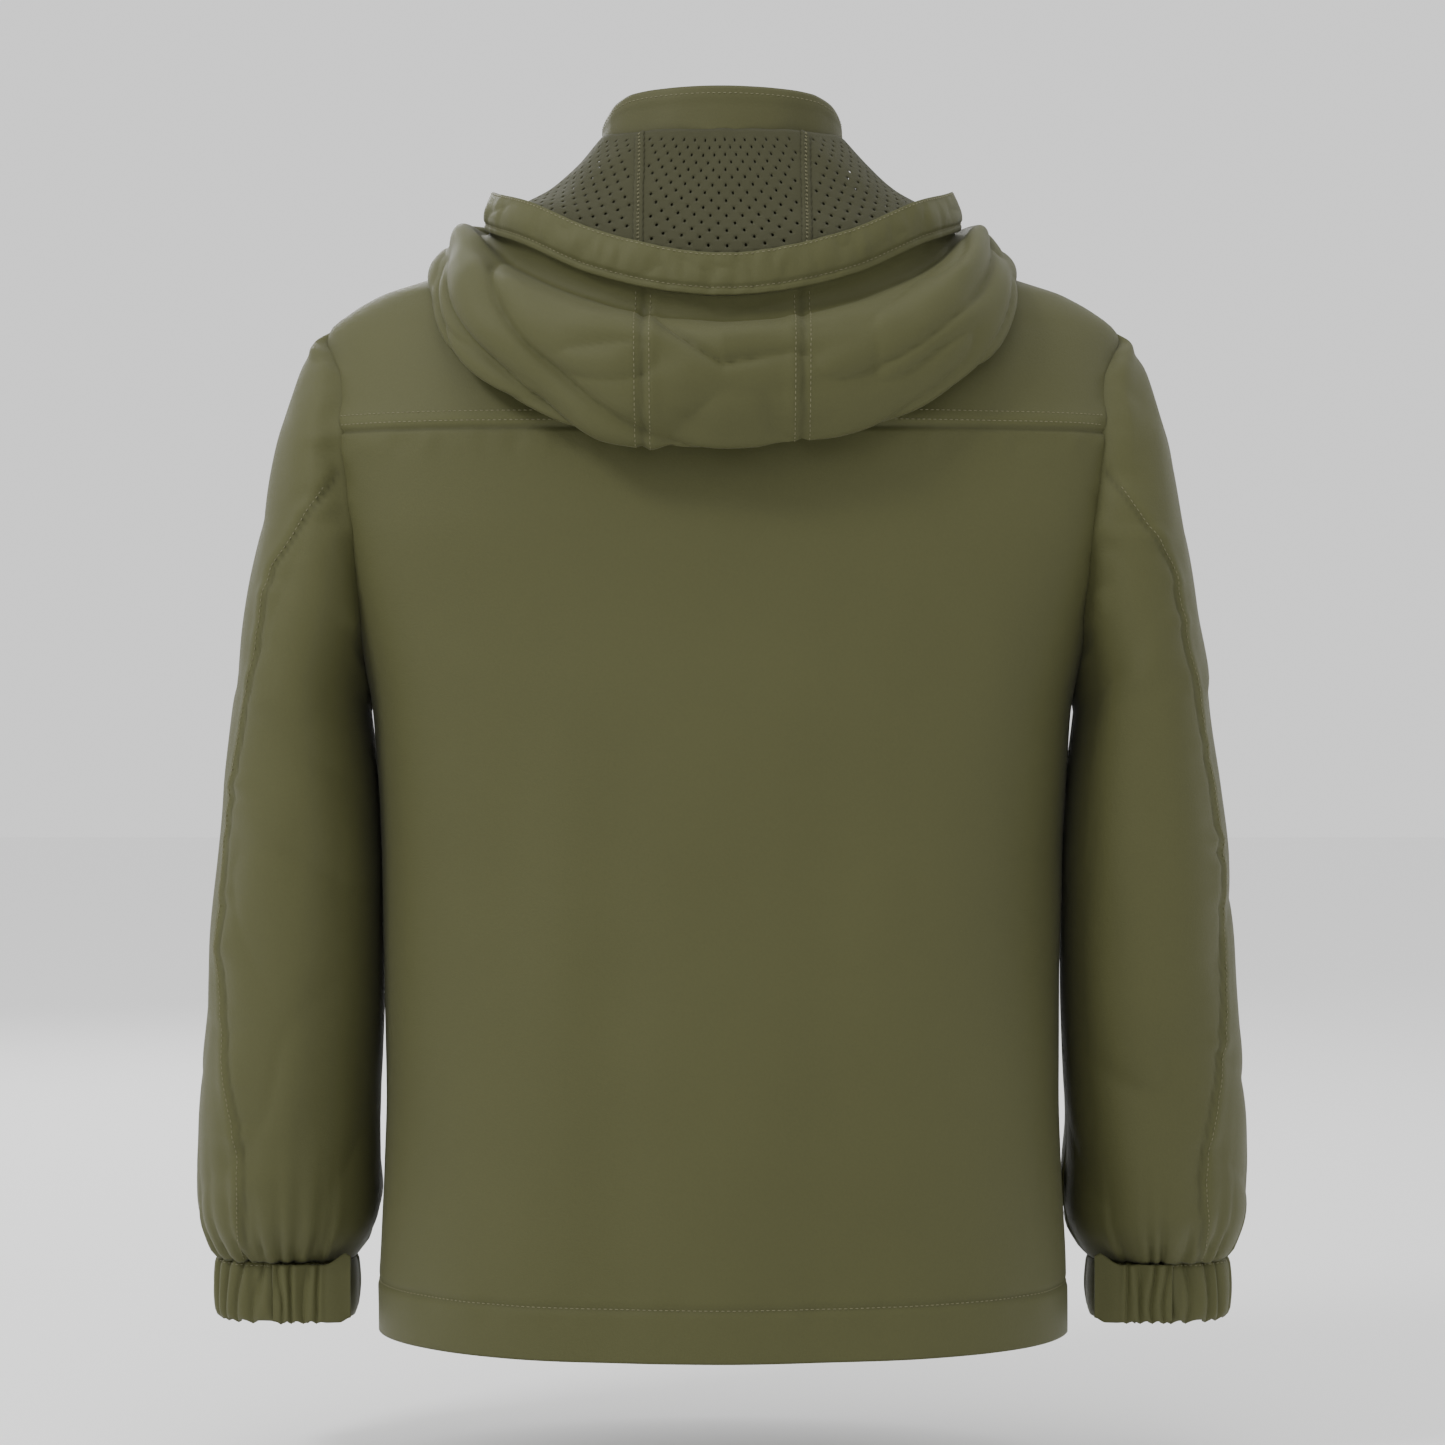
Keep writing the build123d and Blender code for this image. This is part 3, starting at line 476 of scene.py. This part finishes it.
# Fronts.
front_shares = np.linspace(1, 0, 95)
slit = [[c / MM for c in corner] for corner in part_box("pocket_zip_left")]
slit_z0, slit_z1 = slit[0][2] + 1, slit[1][2] - 1
slit_x = (slit[0][0] + slit[1][0]) / 2 + 1
f_rows = levels(hem_z, -2, (hem_z + HEM_DEPTH, -30, -16, -45))
front = trunk_grid(f_rows, front_shares, -1)
# The last columns stop at the zip's edge.
over_zip = front[..., 0] < ZIP_HALF
front[..., 0] = np.maximum(front[..., 0], ZIP_HALF)
normal_f = outward(front, np.array([0, 0, -350.]))
Zf, Xf = front[..., 2], front[..., 0]
edge_f = 1 - front_shares[None, :]
low = Zf - hem_z
drape = smooth_step((-160 - Zf) / 260) * smooth_step(edge_f * 9) * smooth_step((Xf - 30) / 60)
pocket_near = np.exp(-(((Xf - slit_x) / 26) ** 4)) * smooth_step((slit_z1 + 25 - Zf) / 20)
pocket_near = pocket_near * smooth_step((Zf - slit_z0 + 25) / 20)
d = drape * (2.4 * noise(Xf / 58 + 3, Zf / 300, 23) + 1.2 * noise(Xf / 30, Zf / 190, 25))
d = d + .7 * noise(Xf / 50, Zf / 60, 27) * smooth_step((Xf - 20) / 20)
d = d * (1 - pocket_near) - .6 * pocket_near
d += .7 * smooth_step((HEM_DEPTH + 2 - low) / 3) - 1.0 * np.exp(-((low - HEM_DEPTH) / 2.2) ** 2)
arm = smooth_step((-62 - Zf) / 20) * smooth_step((Zf + 300) / 20)
d -= .5 * arm * np.exp(-(edge_f * 300 / 2.5) ** 2)
d += .8 * arm * np.exp(-((edge_f * 300 - 9) / 10) ** 2) * noise(Zf / 9, Xf / 60, 29)
front = front + normal_f * d[..., None]
mid_x = (front[:-1, :-1, 0] + front[1:, 1:, 0]) / 2
mid_z = (front[:-1, :-1, 2] + front[1:, 1:, 2]) / 2
keep = ~((np.abs(mid_x - slit_x) < 6.0) & (mid_z > slit_z0) & (mid_z < slit_z1))
keep &= ~over_zip[:-1, :-1]
flip = np.array([-1, 1, 1])
for name, way in (("left", 1), ("right", -1)):
    P, N = front * (flip if way < 0 else 1), normal_f * (flip if way < 0 else 1)
    piece = sheet("front_" + name, P, N, 1.4, keep=keep)
    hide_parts("front_panel_" + name, "hem_facing_" + name)
    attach(piece, "body")
    body_runs.append(line_at(P, N, f_rows, hem_z + HEM_DEPTH, 0, 92))
    side = np.arange(2, len(f_rows) - 1)
    column = np.array([np.interp(-(ZIP_HALF + 6), -front[r, :, 0], np.arange(95)) for r in side])
    body_runs.append((at_grid(P, side.astype(float), column), at_grid(N, side.astype(float), column)))
in_hem = z_rows < hem_z + HEM_DEPTH + .5
hem_rows = back[in_hem] - normal[in_hem] * 2.2
inner_hem = sheet("hem_fold_back", hem_rows, -normal[in_hem], 0.5)
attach(inner_hem, "body")

# ---- sleeves -------------------------------------------------------------------------------------
s_rows = levels(cuff_high + .2, -66, (-80,))
u = np.linspace(0, 1, 141)


def sleeve_grid(z):
    """Rows at heights z round the left sleeve."""
    inner, outer, depth, mid_y, _ = rows_of(SLEEVE, z, 9)
    share = np.interp(z, *np.array([(r[0], r[5]) for r in sorted(SLEEVE)]).T)
    mid_x, half = ((inner + outer) / 2)[:, None], ((outer - inner) / 2)[:, None]
    depth, mid_y, share = depth[:, None], mid_y[:, None], share[:, None]
    # It runs over the inner back from its open end, the outer back, the outer front and the inner front.
    part = u[None, :] * (2 + 2 * share) - share
    f = .58
    back_side = part <= 1
    k = np.where(part < 0, -part, np.where(part <= 1, part, np.where(part <= 2, 2 - part, part - 2)))
    k = np.clip(k, 0, 1)
    reach = np.where((part < 0) | (part > 2), -1, 1) * curve4(k, 0, f, 1, 1)
    deep = curve4(k, 1, 1, f, 0)
    x = mid_x + half * reach
    y = mid_y + depth * deep * np.where(back_side, 1, -1)
    P = np.stack([x, y, np.broadcast_to(z[:, None], x.shape)], -1)
    # Where the ring is open it meets the trunk's edge.
    half_t, back_t, full_t, _ = rows_of(TRUNK, z)
    front_t = FRONT_HEM_Y + FRONT_SLOPE * (z - hem_z)
    opened_t = open_share(z) + .016 * smooth_step((-62 - z) / 24)
    x_e = curve4(opened_t, half_t, half_t, full_t * half_t, 0)
    near = (smooth_step((z + 312) / 16) * smooth_step((-66 - z) / 10))[:, None]
    wide = .10 + .5 * smooth_step((z + 96) / 26)[:, None]
    for deep_t, at_start in ((back_t, True), (front_t, False)):
        y_e = SIDE_Y + curve4(opened_t, 0, full_t * (deep_t - SIDE_Y), deep_t - SIDE_Y, deep_t - SIDE_Y)
        target = np.stack([x_e - .4, y_e - 1.8 * np.sign(deep_t), z], -1)
        column = 0 if at_start else -1
        away_from = u[None, :] if at_start else 1 - u[None, :]
        w = near * smooth_step(1 - away_from / wide)
        P = P + w[..., None] * (target - P[:, column])[:, None, :]
    return P


def gather(angle, v, seed):
    """Cloth gathered round a wrist: rounded pleats with sharp valleys, uneven and leaning; -1 to 1."""
    bent = angle * 11 + 1.5 * noise(angle * 2.6 + 20, v * .9 + seed, seed)
    bent = bent + .7 * noise(angle * 7 + 40, v * 1.6, seed + 1)
    return 2 * np.abs(np.cos(bent)) ** .7 - 1


def cuff_flat(angle):
    """1 where the cuff is gathered, 0 along its flat stretch towards the trunk."""
    return smooth_step((np.abs(angle - radians(158)) - radians(22)) / radians(12))


sleeve = sleeve_grid(s_rows)
centre = sleeve.mean(axis=1, keepdims=True)
n_s = outward(sleeve, centre)
Zs = sleeve[..., 2]
angle = np.arctan2(sleeve[..., 1] - centre[..., 1], sleeve[..., 0] - centre[..., 0])
angle = np.where(angle < -pi / 2, angle + 2 * pi, angle)
above = Zs - cuff_high
grip = np.exp(-above / 24.0)
seam_x = np.interp(s_rows, *np.array(sorted(SEAM_X)).T)
seam_col = np.array([
    np.interp(seam_x[i], sleeve[i, :70, 0], np.arange(70)) if s_rows[i] < SLEEVE_SEAM_TOP else -20
    for i in range(len(s_rows))])
around = lengths(sleeve, 1) / MM
seam_len = np.array([np.interp(c, np.arange(141), around[i]) for i, c in enumerate(seam_col)])
from_seam = np.where(Zs < SLEEVE_SEAM_TOP, around - seam_len[:, None], 200)
to_arm = np.minimum(around, around[:, -1:] - around)
open_arm = smooth_step((Zs + 306) / 14)
inner = smooth_step((np.abs(angle) - 1.9) / .7) * smooth_step((-300 - Zs) / 10) * smooth_step((Zs + 600) / 60)

for name, way in (("left", 1), ("right", -1)):
    seed = 31 if way > 0 else 57
    d = grip * cuff_flat(angle) * 3.6 * gather(angle, 0 * angle, seed) * (.35 + .65 * smooth_step(above / 9))
    d += 5.0 * np.exp(-((above - 32) / 24) ** 2) - 2.2 * np.exp(-above / 3)
    d += 4.5 * np.exp(-((Zs + 570) / 80) ** 2) * (crease(around / 70, Zs / 60 + around / 110, seed + 2) - .4)
    d += 4.0 * np.exp(-((Zs + 410) / 90) ** 2) * (crease(around / 90, Zs / 70 - around / 130, seed + 3) - .4)
    d += 3.0 * np.exp(-((Zs + 240) / 90) ** 2) * (crease(around / 80 + Zs / 110, Zs / 80, seed + 4) - .4)
    d += 1.2 * noise(around / 24, Zs / 50, seed + 5)
    d -= 1.5 * np.exp(-(from_seam / 2.4) ** 2)
    d += .9 * np.exp(-((from_seam - 6) / 5.0) ** 2)
    d += 1.5 * np.exp(-(from_seam / 16) ** 2) * noise(Zs / 8.5, from_seam / 30, seed + 6)
    d *= 1 - .9 * inner
    d *= 1 - open_arm * np.exp(-(to_arm / 7) ** 2)
    d += 1.6 * open_arm * np.exp(-((to_arm - 13) / 9) ** 2) * (.4 + noise(Zs / 7.5, to_arm / 30, seed + 7))
    d = d * smooth_step((-64 - Zs) / 14)
    d[:, 0] = d[:, -1] = np.where(Zs[:, 0] < -310, (d[:, 0] + d[:, -1]) / 2, d[:, 0])
    P = sleeve + n_s * d[..., None]
    closed = s_rows < -306
    P[closed, -1] = P[closed, 0]
    # Painted shade along the sleeve seam's groove and where the sleeve meets the armhole, and a painted
    # highlight on the raised cloth beside the seam.
    tone = (.08 * np.exp(-((from_seam - 5) / 4) ** 2) - .4 * np.exp(-(from_seam / 1.5) ** 2)
            - .2 * open_arm * np.exp(-(to_arm / 2.2) ** 2)).ravel()
    m = flip if way < 0 else np.array([1, 1, 1])
    piece = sheet("sleeve_" + name, P * m, n_s * m, 1.3, seam=tone)
    nodes = ("sleeve_top", "sleeve_under", "elbow", "forearm_top", "forearm_under")
    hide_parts(*[n + "_" + name for n in nodes])
    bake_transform(piece)
    r = np.arange(len(s_rows))[s_rows < -172].astype(float)
    c = np.interp(r, np.arange(len(s_rows)), seam_col) + 1.6
    runs = [(at_grid(P * m, r, c), at_grid(n_s * m, r, r * 0 + 40))]
    thread = stitches("sleeve_thread_" + name, runs)
    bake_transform(thread)

# ---- cuffs ---------------------------------------------------------------------------------------
height = cuff_high - cuff_low
c_u = np.linspace(0, 2 * pi, 361)
c_rows = np.linspace(0, 1, 25)
for name, way in (("left", 1), ("right", -1)):
    seed = 31 if way > 0 else 57
    box = [[c / MM for c in corner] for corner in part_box("cuff_casing_" + name)]
    mid = [abs(box[0][0] + box[1][0]) / 2, (box[0][1] + box[1][1]) / 2]
    reach = [(box[1][0] - box[0][0]) / 2, (box[1][1] - box[0][1]) / 2]
    a, v = np.meshgrid(c_u, c_rows)
    a = np.where(a > 1.5 * pi, a - 2 * pi, a)
    folds = gather(a, v, seed) * cuff_flat(a)
    swell = 1.6 * np.sin(pi * v) - .6 + folds * 2.0
    swell = swell - 1.6 * (1 - smooth_step(v / .12)) - .8 * smooth_step((v - .9) / .1)
    shape = 1 / (np.abs(np.cos(a)) ** 2.15 + np.abs(np.sin(a)) ** 2.15) ** (1 / 2.15)
    x = mid[0] + (reach[0] * shape + swell) * np.cos(a)
    y = mid[1] + (reach[1] * shape + swell) * np.sin(a)
    z = cuff_high + 1.5 - v * (height + 2 - 1.6 * folds * v)
    P = np.stack([x, y, z], -1)
    m = flip if way < 0 else np.array([1, 1, 1])
    n_c = outward(P, P.mean(axis=(0, 1)))
    piece = sheet("cuff_" + name, P * m, n_c * m, 2.2)
    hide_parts("cuff_casing_" + name)
    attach(piece, "forearm_" + name)
    r, c = np.full(400, 1.6), np.linspace(0, 359.9, 400)
    runs = [(at_grid(P * m, r, c), at_grid(n_c * m, r, c))]
    thread = stitches("cuff_thread_" + name, runs)
    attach(thread, "forearm_" + name)
    # The strap is gathered towards its root and flat at its free end, whose upper corner stands up.
    low, high = [[c / MM for c in corner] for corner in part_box("cuff_tab_" + name)]
    tip, root = sorted((abs(low[0]), abs(high[0])))
    s_t, v_t = np.meshgrid(np.linspace(0, 1, 90), np.linspace(0, 1, 25))
    x = tip - 3 + (root - tip + 3) * s_t
    rise = 8 * (1 - smooth_step((x - tip + 3) / 17))
    pleats = 2 * np.abs(np.cos((x + 3 * noise(x / 9, v_t * 1.4, seed + 9)) / 2.6)) ** .7 - 1
    fold_t = pleats * smooth_step((x - tip - 11) / 9)
    top_z = cuff_high + .5 + rise - 2.5 * (1 - smooth_step((x - tip + 3) / 4))
    z = top_z + (cuff_low + .6 + 3 * (1 - smooth_step((x - tip + 3) / 7)) - top_z) * v_t + 1.2 * fold_t * v_t
    y = high[1] + 1.3 + 1.6 * fold_t + 1.4 * np.sin(pi * v_t)
    y = y - 2.2 * (1 - smooth_step((x - tip + 3) / 16)) - smooth_step((s_t - .9) / .1)
    P = np.stack([x, y, z], -1)
    n_t = outward(P, P.mean(axis=(0, 1)) - np.array([0, 40, 0]))
    tab = sheet("cuff_strap_" + name, P * m, n_t * m, 1.8)
    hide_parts("cuff_tab_" + name)
    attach(tab, "cuff_tab_" + name)

# ---- collar --------------------------------------------------------------------------------------
t = np.linspace(0, 2, 81)
k = np.concatenate([-t[::-1][:-1], t])


def collar_point(v, k):
    """A point of the collar: k is 0 at the back and runs to the front middle, negative on one side."""
    side = np.sign(k)
    q = np.abs(k)
    half = 83 - 9 * v
    is_back = q <= 1
    tt = np.where(is_back, 1 - q, q - 1)
    back_y, front_y = 69 - 6 * v, FRONT_HEM_Y + FRONT_SLOPE * (v * COLLAR_HEIGHT - hem_z)
    depth = np.where(is_back, back_y, front_y) - SIDE_Y
    f = .56
    x = side * curve4(tt, half, half, f * half, 0)
    y = SIDE_Y + curve4(tt, 0, f * depth, depth, depth)
    return x, y


v, kk = np.meshgrid(np.linspace(0, 1, 40), k, indexing="ij")
for _ in range(3):
    x, y = collar_point(v, kk)
    top = np.interp(y, [-110, -80, 4, 42, 90], [57, 58, 64, 76, 81])
    v = np.linspace(0, 1, 40)[:, None] * top / COLLAR_HEIGHT
x, y = collar_point(v, kk)
z = v * COLLAR_HEIGHT + neck_z
P = np.stack([x, y, z], -1)[::-1]
n_col = outward(P, np.array([0, 0, 30.]))
from_top = (1 - np.linspace(1, 0, 40)[:, None]) * 75
d = .8 * noise(kk * 7, z / 26, 71) - .7 * np.exp(-(from_top / 1.4) ** 2)
d = d + .5 * np.exp(-((from_top - 7) / 2.5) ** 2)
P = P + n_col * d[..., None]
keep = (np.abs((P[:-1, :-1, 0] + P[1:, 1:, 0]) / 2) > ZIP_HALF - .5) | (P[:-1, :-1, 1] > 0)
at_zip = (np.abs(P[..., 0]) < ZIP_HALF) & (P[..., 1] < 0)
P[..., 0] = np.where(at_zip, np.sign(P[..., 0]) * ZIP_HALF, P[..., 0])
piece = sheet("collar", P, n_col, 3.2, "collar", keep=keep)
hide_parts("collar_outer", "collar_facing")
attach(piece, "body")
r = np.full(500, 2.5)
c = np.linspace(6, 154, 500)
body_runs.append((at_grid(P, r, c), at_grid(n_col, r, c)))


# ---- folded hood ---------------------------------------------------------------------------------
def hood_grid(table, turns, along):
    """Profiles turned round the hood's axis, rounded along their length."""
    keys = np.array([k for k, _ in table], float)
    values = np.array([p for _, p in table], float)
    keys, values = np.concatenate([-keys[:0:-1], keys]), np.concatenate([values[:0:-1], values])
    slope = np.gradient(values, keys, axis=0)
    i = np.clip(np.searchsorted(keys, turns) - 1, 0, len(keys) - 2)
    wide = (keys[i + 1] - keys[i])[:, None]
    s = (turns - keys[i])[:, None] / wide
    numbers = (values[i] * (1 + 2 * s) * (1 - s) ** 2 + values[i + 1] * s ** 2 * (3 - 2 * s)
               + slope[i] * wide * s * (1 - s) ** 2 - slope[i + 1] * wide * s ** 2 * (1 - s))
    pts = numbers.reshape(len(turns), -1, 2)
    count = pts.shape[1]
    fine = np.linspace(0, count - 1, 200)
    i = np.clip(fine.astype(int), 0, count - 2)
    s = (fine - i)[None, :, None]
    p0, p1, p2, p3 = (pts[:, np.clip(i + o, 0, count - 1)] for o in (-1, 0, 1, 2))
    path = 2 * p1 + (p2 - p0) * s + (2 * p0 - 5 * p1 + 4 * p2 - p3) * s ** 2
    path = .5 * (path + (3 * p1 - p0 - 3 * p2 + p3) * s ** 3)
    gaps = np.linalg.norm(np.diff(path, axis=1), axis=2)
    step = np.concatenate([np.zeros((len(turns), 1)), np.cumsum(gaps, axis=1)], 1)
    out = np.empty((len(along), len(turns), 3))
    for j, turn in enumerate(turns):
        want = along * step[j, -1]
        r, z = np.interp(want, step[j], path[j, :, 0]), np.interp(want, step[j], path[j, :, 1])
        out[:, j] = np.stack([r * sin(radians(turn)), HOOD_AXIS_Y + r * cos(radians(turn)), z], -1)
    return out


turns = np.linspace(-END_TURN, END_TURN, 261)
along = np.linspace(0, 1, 110)
# The outer cloth hangs from the edge band down a short wall, into the crease and out over the lobe.
OUTER = [
    (k, (b[4] + 1.6, b[5] + 3, (b[4] + p[2]) / 2 - 2.5, (b[5] + p[3]) / 2) + p[2:])
    for (k, p), (_, b) in zip(HOOD_SHELL, HOOD_BAND)]
shell = hood_grid(OUTER, turns, along)
ctr = hood_grid(HOOD_SHELL, turns, np.array([0.0, .5, 1.0])).mean(axis=0)[None]
n_h = normals_of(shell)
if ((shell - ctr) * n_h)[30:].sum() < 0:
    n_h = -n_h
T, V = np.meshgrid(turns, along)
fade = smooth_step((END_TURN - np.abs(T)) / 14)
swept = V * 5.5 + np.abs(T) / 42
d = 12.0 * (crease(T / 44 + 8, swept + T / 90, 82) - .5) + 5.5 * (crease(T / 24 + 8, V * 8 - T / 40, 83) - .5)
d += 1.2 * noise(T / 8, V * 12, 85)
d *= smooth_step((V - .12) / .12) * .8 + .2
for s in (-1, 1):
    off = shell[..., 0] - s * HOOD_SEAM_X
    ridge = -1.7 * np.exp(-(off / 2.6) ** 2) + 1.0 * np.exp(-((off * s + 6) / 4) ** 2)
    d += ridge + 1.2 * np.exp(-(off / 16) ** 2) * noise(V * 26, T / 40, 87)
d += 2.6 * np.exp(-((V - .25) / .05) ** 2) * (1 + noise(T / 20, V * 0, 88))
shell_p = shell + n_h * (d * fade * smooth_step(V * 9))[..., None]
# Painted shade in the grooves of the hood's two seams.
tone = (-.4 * sum(np.exp(-((shell[..., 0] - s * HOOD_SEAM_X) / 2.0) ** 2) for s in (-1, 1))).ravel()
piece = sheet("hood_shell", shell_p, n_h, 1.2, seam=tone)
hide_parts("hood_shell_centre", "hood_shell_left", "hood_shell_right")
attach(piece, "hood")
hood_runs = []
for s in (-1, 1):
    for off in (-4.5, 4.5):
        r = np.linspace(3, 72, 200)
        c = np.array([np.interp(s * HOOD_SEAM_X + off, shell_p[int(q), :, 0], np.arange(261)) for q in r])
        hood_runs.append((at_grid(shell_p, r, c), at_grid(n_h, r, c)))

band = hood_grid(HOOD_BAND, turns, np.linspace(0, 1, 26))
n_b = outward(band, np.array([0, 20., -40.]))
T, V = np.meshgrid(turns, np.linspace(0, 1, 26))
arc = T * 2.1
puckers = 2.2 * (crease(arc / 13, V * 1.1, 91) - .5) + .9 * noise(arc / 5, V * 2, 93)
d = 3.7 + 1.2 * np.sin(pi * V) + puckers * (.4 + .6 * np.sin(pi * V))
d -= 1.1 * np.exp(-((V - BAND_STITCH) / .05) ** 2)
band_p = band + n_b * d[..., None]
# Painted shade along the groove of the band's row of stitching.
tone = (-.15 * np.exp(-((V - BAND_STITCH) / .03) ** 2)).ravel()
piece = sheet("hood_edge_band", band_p, n_b, 3.4, seam=tone)
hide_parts("hood_band")
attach(piece, "hood")
inside = (band + n_b * (d - 1.1)[..., None])[2:-2, 2:-2]
piece = sheet("hood_edge_elastic", inside, n_b[2:-2, 2:-2], 1.2, "elastic")
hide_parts("hood_elastic")
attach(piece, "hood")
c = np.linspace(1, 259, 500)
for row in (25 * BAND_STITCH, 1.5):
    r = np.full(500, row)
    hood_runs.append((at_grid(band_p, r, c), at_grid(n_b, r, c)))
thread = stitches("hood_thread", hood_runs)
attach(thread, "hood")

# Perforated lining: a grid of cells, every other one with an oval hole.
rows, cols = 20, 72
R2, C2 = 2 * rows + 1, 2 * cols + 1
lining = hood_grid(HOOD_LINING, np.linspace(-END_TURN, END_TURN, C2), np.linspace(0, 1, R2))
n_l = outward(lining, np.array([0, 20., -40.]))
wave_u, wave_v = np.meshgrid(np.linspace(0, 22, C2), np.linspace(0, 4, R2))
lining = lining + n_l * (.9 * noise(wave_u, wave_v, 95))[..., None]
verts = list(lining.reshape(-1, 3))
faces, uvs = [], list(np.stack([lengths(lining, 1), lengths(lining, 0)], -1).reshape(-1, 2))
index = lambda i, j: i * C2 + j
for i in range(rows):
    for j in range(cols):
        a, b = 2 * i, 2 * j
        rim = [(a, b), (a, b + 1), (a, b + 2), (a + 1, b + 2),
               (a + 2, b + 2), (a + 2, b + 1), (a + 2, b), (a + 1, b)]
        ids = [index(*q) for q in rim]
        x_mid = lining[a + 1, b + 1, 0]
        solid = i in (0, rows - 1) or (i + j) % 2 or abs(abs(x_mid) - LINING_SEAM_X) < 5
        if solid:
            faces.append(ids)
            continue
        mid = lining[a + 1, b + 1]
        e_i = (lining[a + 2, b + 1] - lining[a, b + 1]) / 2
        e_j = (lining[a + 1, b + 2] - lining[a + 1, b]) / 2
        first = len(verts)
        for q in range(8):
            ang = radians(225 + 45 * q)
            verts.append(mid + .32 * cos(ang) * e_j + .46 * sin(ang) * e_i)
            uvs.append(uvs[index(a + 1, b + 1)])
        for q in range(8):
            w = (q + 1) % 8
            faces.append([ids[q], ids[w], first + w, first + q])
piece = build("hood_mesh_lining", np.array(verts) * MM, faces, "mesh", np.array(uvs))
probe = piece.data.polygons[len(piece.data.polygons) // 2]
if probe.normal.dot(probe.center - Vector((0, .02, -.04))) < 0:
    piece.data.flip_normals()
thicken(piece, .5)
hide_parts("hood_lining_centre", "hood_lining_left", "hood_lining_right")
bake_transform(piece)
strips = []
for s in (-1, 1):
    r = np.linspace(.5, R2 - 1.6, 60)
    c = np.array([np.interp(s * LINING_SEAM_X, lining[int(q), :, 0], np.arange(C2)) for q in r])
    mid, n = at_grid(lining, r, c), at_grid(n_l, r, c)
    across = np.cross(n, np.gradient(mid, axis=0))
    across /= np.linalg.norm(across, axis=1, keepdims=True)
    profile = [(-3.2, .15), (-2.8, .9), (-.4, .9), (0, .35), (.4, .9), (2.8, .9), (3.2, .15)]
    strips.append((np.stack([mid + across * o + n * h for o, h in profile], 1), np.stack([n] * 7, 1)))
for i, (P, N) in enumerate(strips):
    tape = sheet("lining_seam_" + "ab"[i], P, N, .4, "mesh")
    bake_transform(tape)
    runs = [(P[:, 2], N[:, 2]), (P[:, 4], N[:, 4])]
    thread = stitches("lining_seam_thread_" + "ab"[i], runs, lift=.1)
    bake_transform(thread)

base = hood_grid(HOOD_BASE, turns, np.linspace(0, 1, 40))
n_g = outward(base, np.array([0, 20., -300.]))
piece = sheet("hood_underside", base, n_g, 1.2)
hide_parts("hood_base")
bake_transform(piece)
thread = stitches("body_thread", body_runs)
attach(thread, "body")

# The woven core that closes the chain between the two rows of teeth.
core_z = np.linspace(hem_z + 10, 44, 120)
core_x = np.linspace(-2.6, 2.6, 3)
core_y = FRONT_HEM_Y + FRONT_SLOPE * (core_z - hem_z) + 1.1
core = np.stack(np.broadcast_arrays(core_x[None, :], core_y[:, None], core_z[:, None]), -1)
piece = sheet("zip_core", core, np.broadcast_to(np.array([0, -1.0, 0]), core.shape), .4, "tape")
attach(piece, "body")

# ---- kept frame pieces ---------------------------------------------------------------------------
slots = {s["node"]: s["material_slot"] for s in frame["record"]["subparts"]}
for node, obj in frame["nodes"].items():
    obj.data.materials.clear()
    obj.data.materials.append(MATS[slots[node]])

# ---- studio --------------------------------------------------------------------------------------
low_z = START_BOUNDS[0][2] - .09
bpy.ops.mesh.primitive_plane_add(size=24, location=(0, 0, low_z))
floor = bpy.context.object
floor.name = "floor"
floor.data.materials.append(plain("floor", (246, 246, 246), .9))
world = bpy.data.worlds.new("studio")
world.use_nodes = True
world.node_tree.nodes["Background"].inputs[0].default_value = (1, 1, 1, 1)
world.node_tree.nodes["Background"].inputs[1].default_value = 1.1
bpy.context.scene.world = world
for name, place, size, power in (("key", (1.9, 1.5, 1.9), .7, 52), ("fill", (-1.9, 2.2, .2), 1.8, 3),
                                 ("top", (0, .2, 2.4), 1.4, 14), ("front", (.9, -2.6, 1.1), 1.0, 30)):
    lamp = bpy.data.lights.new(name, "AREA")
    lamp.energy, lamp.size = power, size
    obj = bpy.data.objects.new(name, lamp)
    obj.location = place
    obj.rotation_euler = (Vector((0, 0, -.3)) - Vector(place)).to_track_quat("-Z", "Y").to_euler()
    bpy.context.collection.objects.link(obj)
cam = bpy.data.cameras.new("camera")
cam.lens, cam.sensor_width = 85.6, 36
shot = bpy.data.objects.new("camera", cam)
shot.location = (0, 2.2, -.318)
shot.rotation_euler = (pi / 2, 0, pi)
bpy.context.collection.objects.link(shot)
bpy.context.scene.camera = shot
